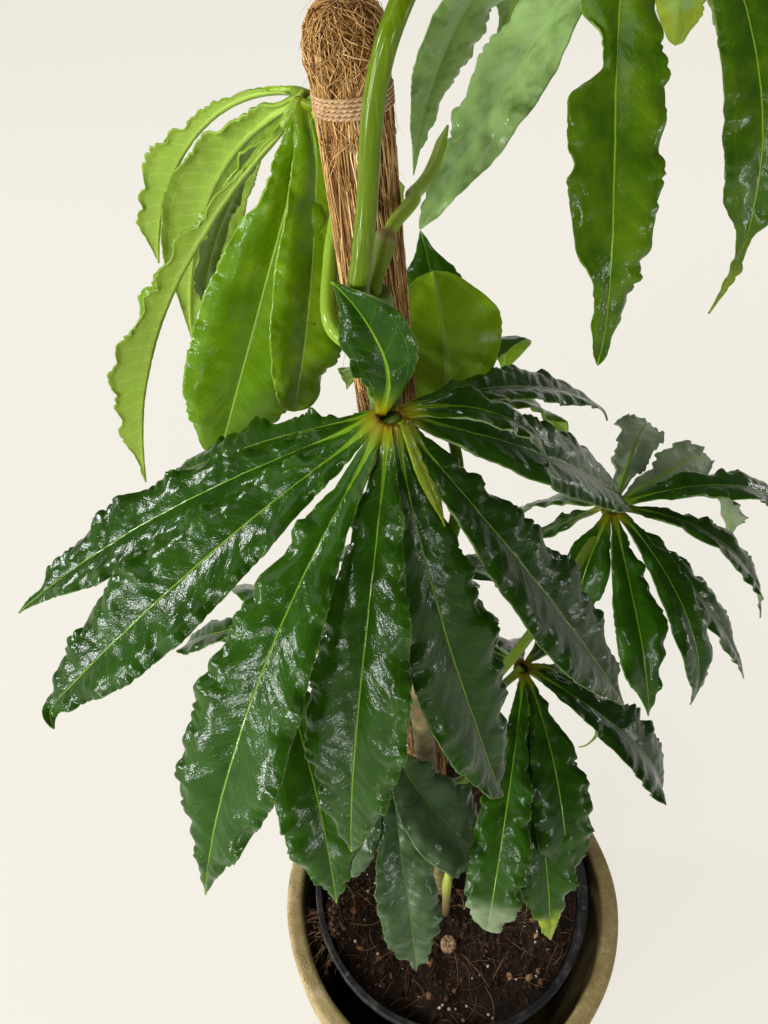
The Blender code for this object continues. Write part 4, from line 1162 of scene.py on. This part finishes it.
def makeSoil():
    random = np.random.default_rng(5)
    foot = nursery["wall"] + nursery["fit"]
    top = nursery["height"] - soil["belowRim"]
    radius = nurseryInside(top) - soil["gap"]
    coarse = waves(random, (0.018, 0.060), 8)
    fine = waves(random, (0.0035, 0.010), 14)

    def surface(x, y):
        # Height of the soil in the pot's own frame: broad waves, crumbly waves, and the heap
        heap = soil["heapHeight"]
        for value, place, size in zip((x, y), soil["heapPlace"], soil["heapSize"]):
            heap = heap * bell(value - place, size)
        dip = 0.004 * smoothStep(hypot(x, y) / radius, 0.80, 1.0)
        return top + 0.0022 * coarse(x, y) + 0.0010 * fine(x, y) + heap - dip

    profile = [(each, top) for each in linspace(0, radius, soil["rings"])]
    profile += [(nurseryInside(top * share) - soil["gap"], top * share) for share in (0.9, 0.6, 0.3)]
    profile += [(nurseryInside(foot) - soil["gap"], foot), (0, foot)]

    def heaped(rings):
        x, y, z = np.moveaxis(rings, -1, 0)
        return stack([x, y, np.where(z > top - 0.001, surface(x, y), z)], -1) + nurseryBase

    def scatter(count, edge=0.97):
        out = radius * edge * np.sqrt(random.uniform(0, 1, count))
        angle = random.uniform(0, 2 * pi, count)
        x, y = out * cos(angle), out * sin(angle)
        return stack([x, y, surface(x, y)], -1) + nurseryBase

    def near(place, spread, count):
        return [random.normal(middle, size, count) for middle, size in zip(place, spread)]

    t = linspace(0, 1, 10)

    def fibres(x, y, z, thickness, hues, draw):
        radii = draw(*thickness) * (1 - 0.4 * t)
        return sweep(stack([x, y, z], -1) + nurseryBase, radii, 3, {"hue": draw(*hues)})

    sizes = 0.0007 + 0.0026 * random.uniform(0, 1, soil["crumbs"]) ** 3
    parts = [lathe(profile, soil["sides"], heaped, {"hue": 0.05})]
    parts.append(crumbs(random, scatter(soil["crumbs"]), sizes, (0.5, 1), (0.0, 0.22)))
    for count, lift, spans in soil["chips"]:
        parts.append(crumbs(random, scatter(count) + [0, 0, lift], *spans))

    # Loose fibres that lie on the soil, arched and turned back from the pot's wall
    draw = drawer(random, soil["fibres"])
    starts = scatter(soil["fibres"], 0.95) - nurseryBase
    heading = draw(0, 2 * pi) + draw(-1.6, 1.6) * t
    size = draw(0.010, 0.045)
    x = starts[:, :1] + np.cumsum(cos(heading), axis=1) * size / len(t)
    y = starts[:, 1:2] + np.cumsum(sin(heading), axis=1) * size / len(t)
    lift = sin(pi * t) * draw(0.0, 0.006) - draw(0.0, 0.001) * t ** 2
    pull = np.minimum(1, radius * 0.985 / hypot(x, y))
    x, y = x * pull, y * pull
    parts.append(fibres(x, y, surface(x, y) + 0.0004 + lift, (0.00008, 0.00026), (0.28, 0.80), draw))

    # The clump's crumbs, and its fibres that hang into the gap
    x, y = near(soil["clumpPlace"], (0.008, 0.012), soil["clump"])
    z = surface(x, y) + random.uniform(-0.002, 0.003, soil["clump"])
    parts.append(crumbs(random, stack([x, y, z], -1) + nurseryBase, (0.0010, 0.0034), (0.5, 1), (0.0, 0.30)))
    draw = drawer(random, soil["hanging"])
    x, y = near(soil["hangingPlace"], (0.006, 0.013), soil["hanging"])
    z = surface(x, y)[:, None]
    away = arctan2(y, x)[:, None] + draw(-0.9, 0.9)
    size = draw(0.008, 0.026)
    z = z + 0.003 * sin(pi * t) - size * draw(0.2, 1.4) * t ** 2
    parts.append(fibres(x[:, None] + size * t * cos(away), y[:, None] + size * t * sin(away), z,
                        (0.00008, 0.0002), (0.3, 0.7), draw))
    paint = Paint("soilPaint")
    grit = paint.noise(700, 4, 0.7)
    patch = paint.noise(60, 3)
    colour = paint.ramp(paint.value("hue") + grit * 0.10 + patch * 0.06 - 0.08, soil["colours"])
    paint.finish(colour, 0.9, (grit, 0.0012), 0.25)
    makePiece("soilTop", parts, paint, "soil")


addCamera()
addStage()
print("camera and stage made")
makePlanter()
makeNurseryPot()
makeSoil()
print("pots and soil made")
makePole()
makeTwine()
makeStem()
makeShoot()
makeStub()
print("pole and stems made")
makeLeaves()
makeYoungLeaf()
print("leaves made")
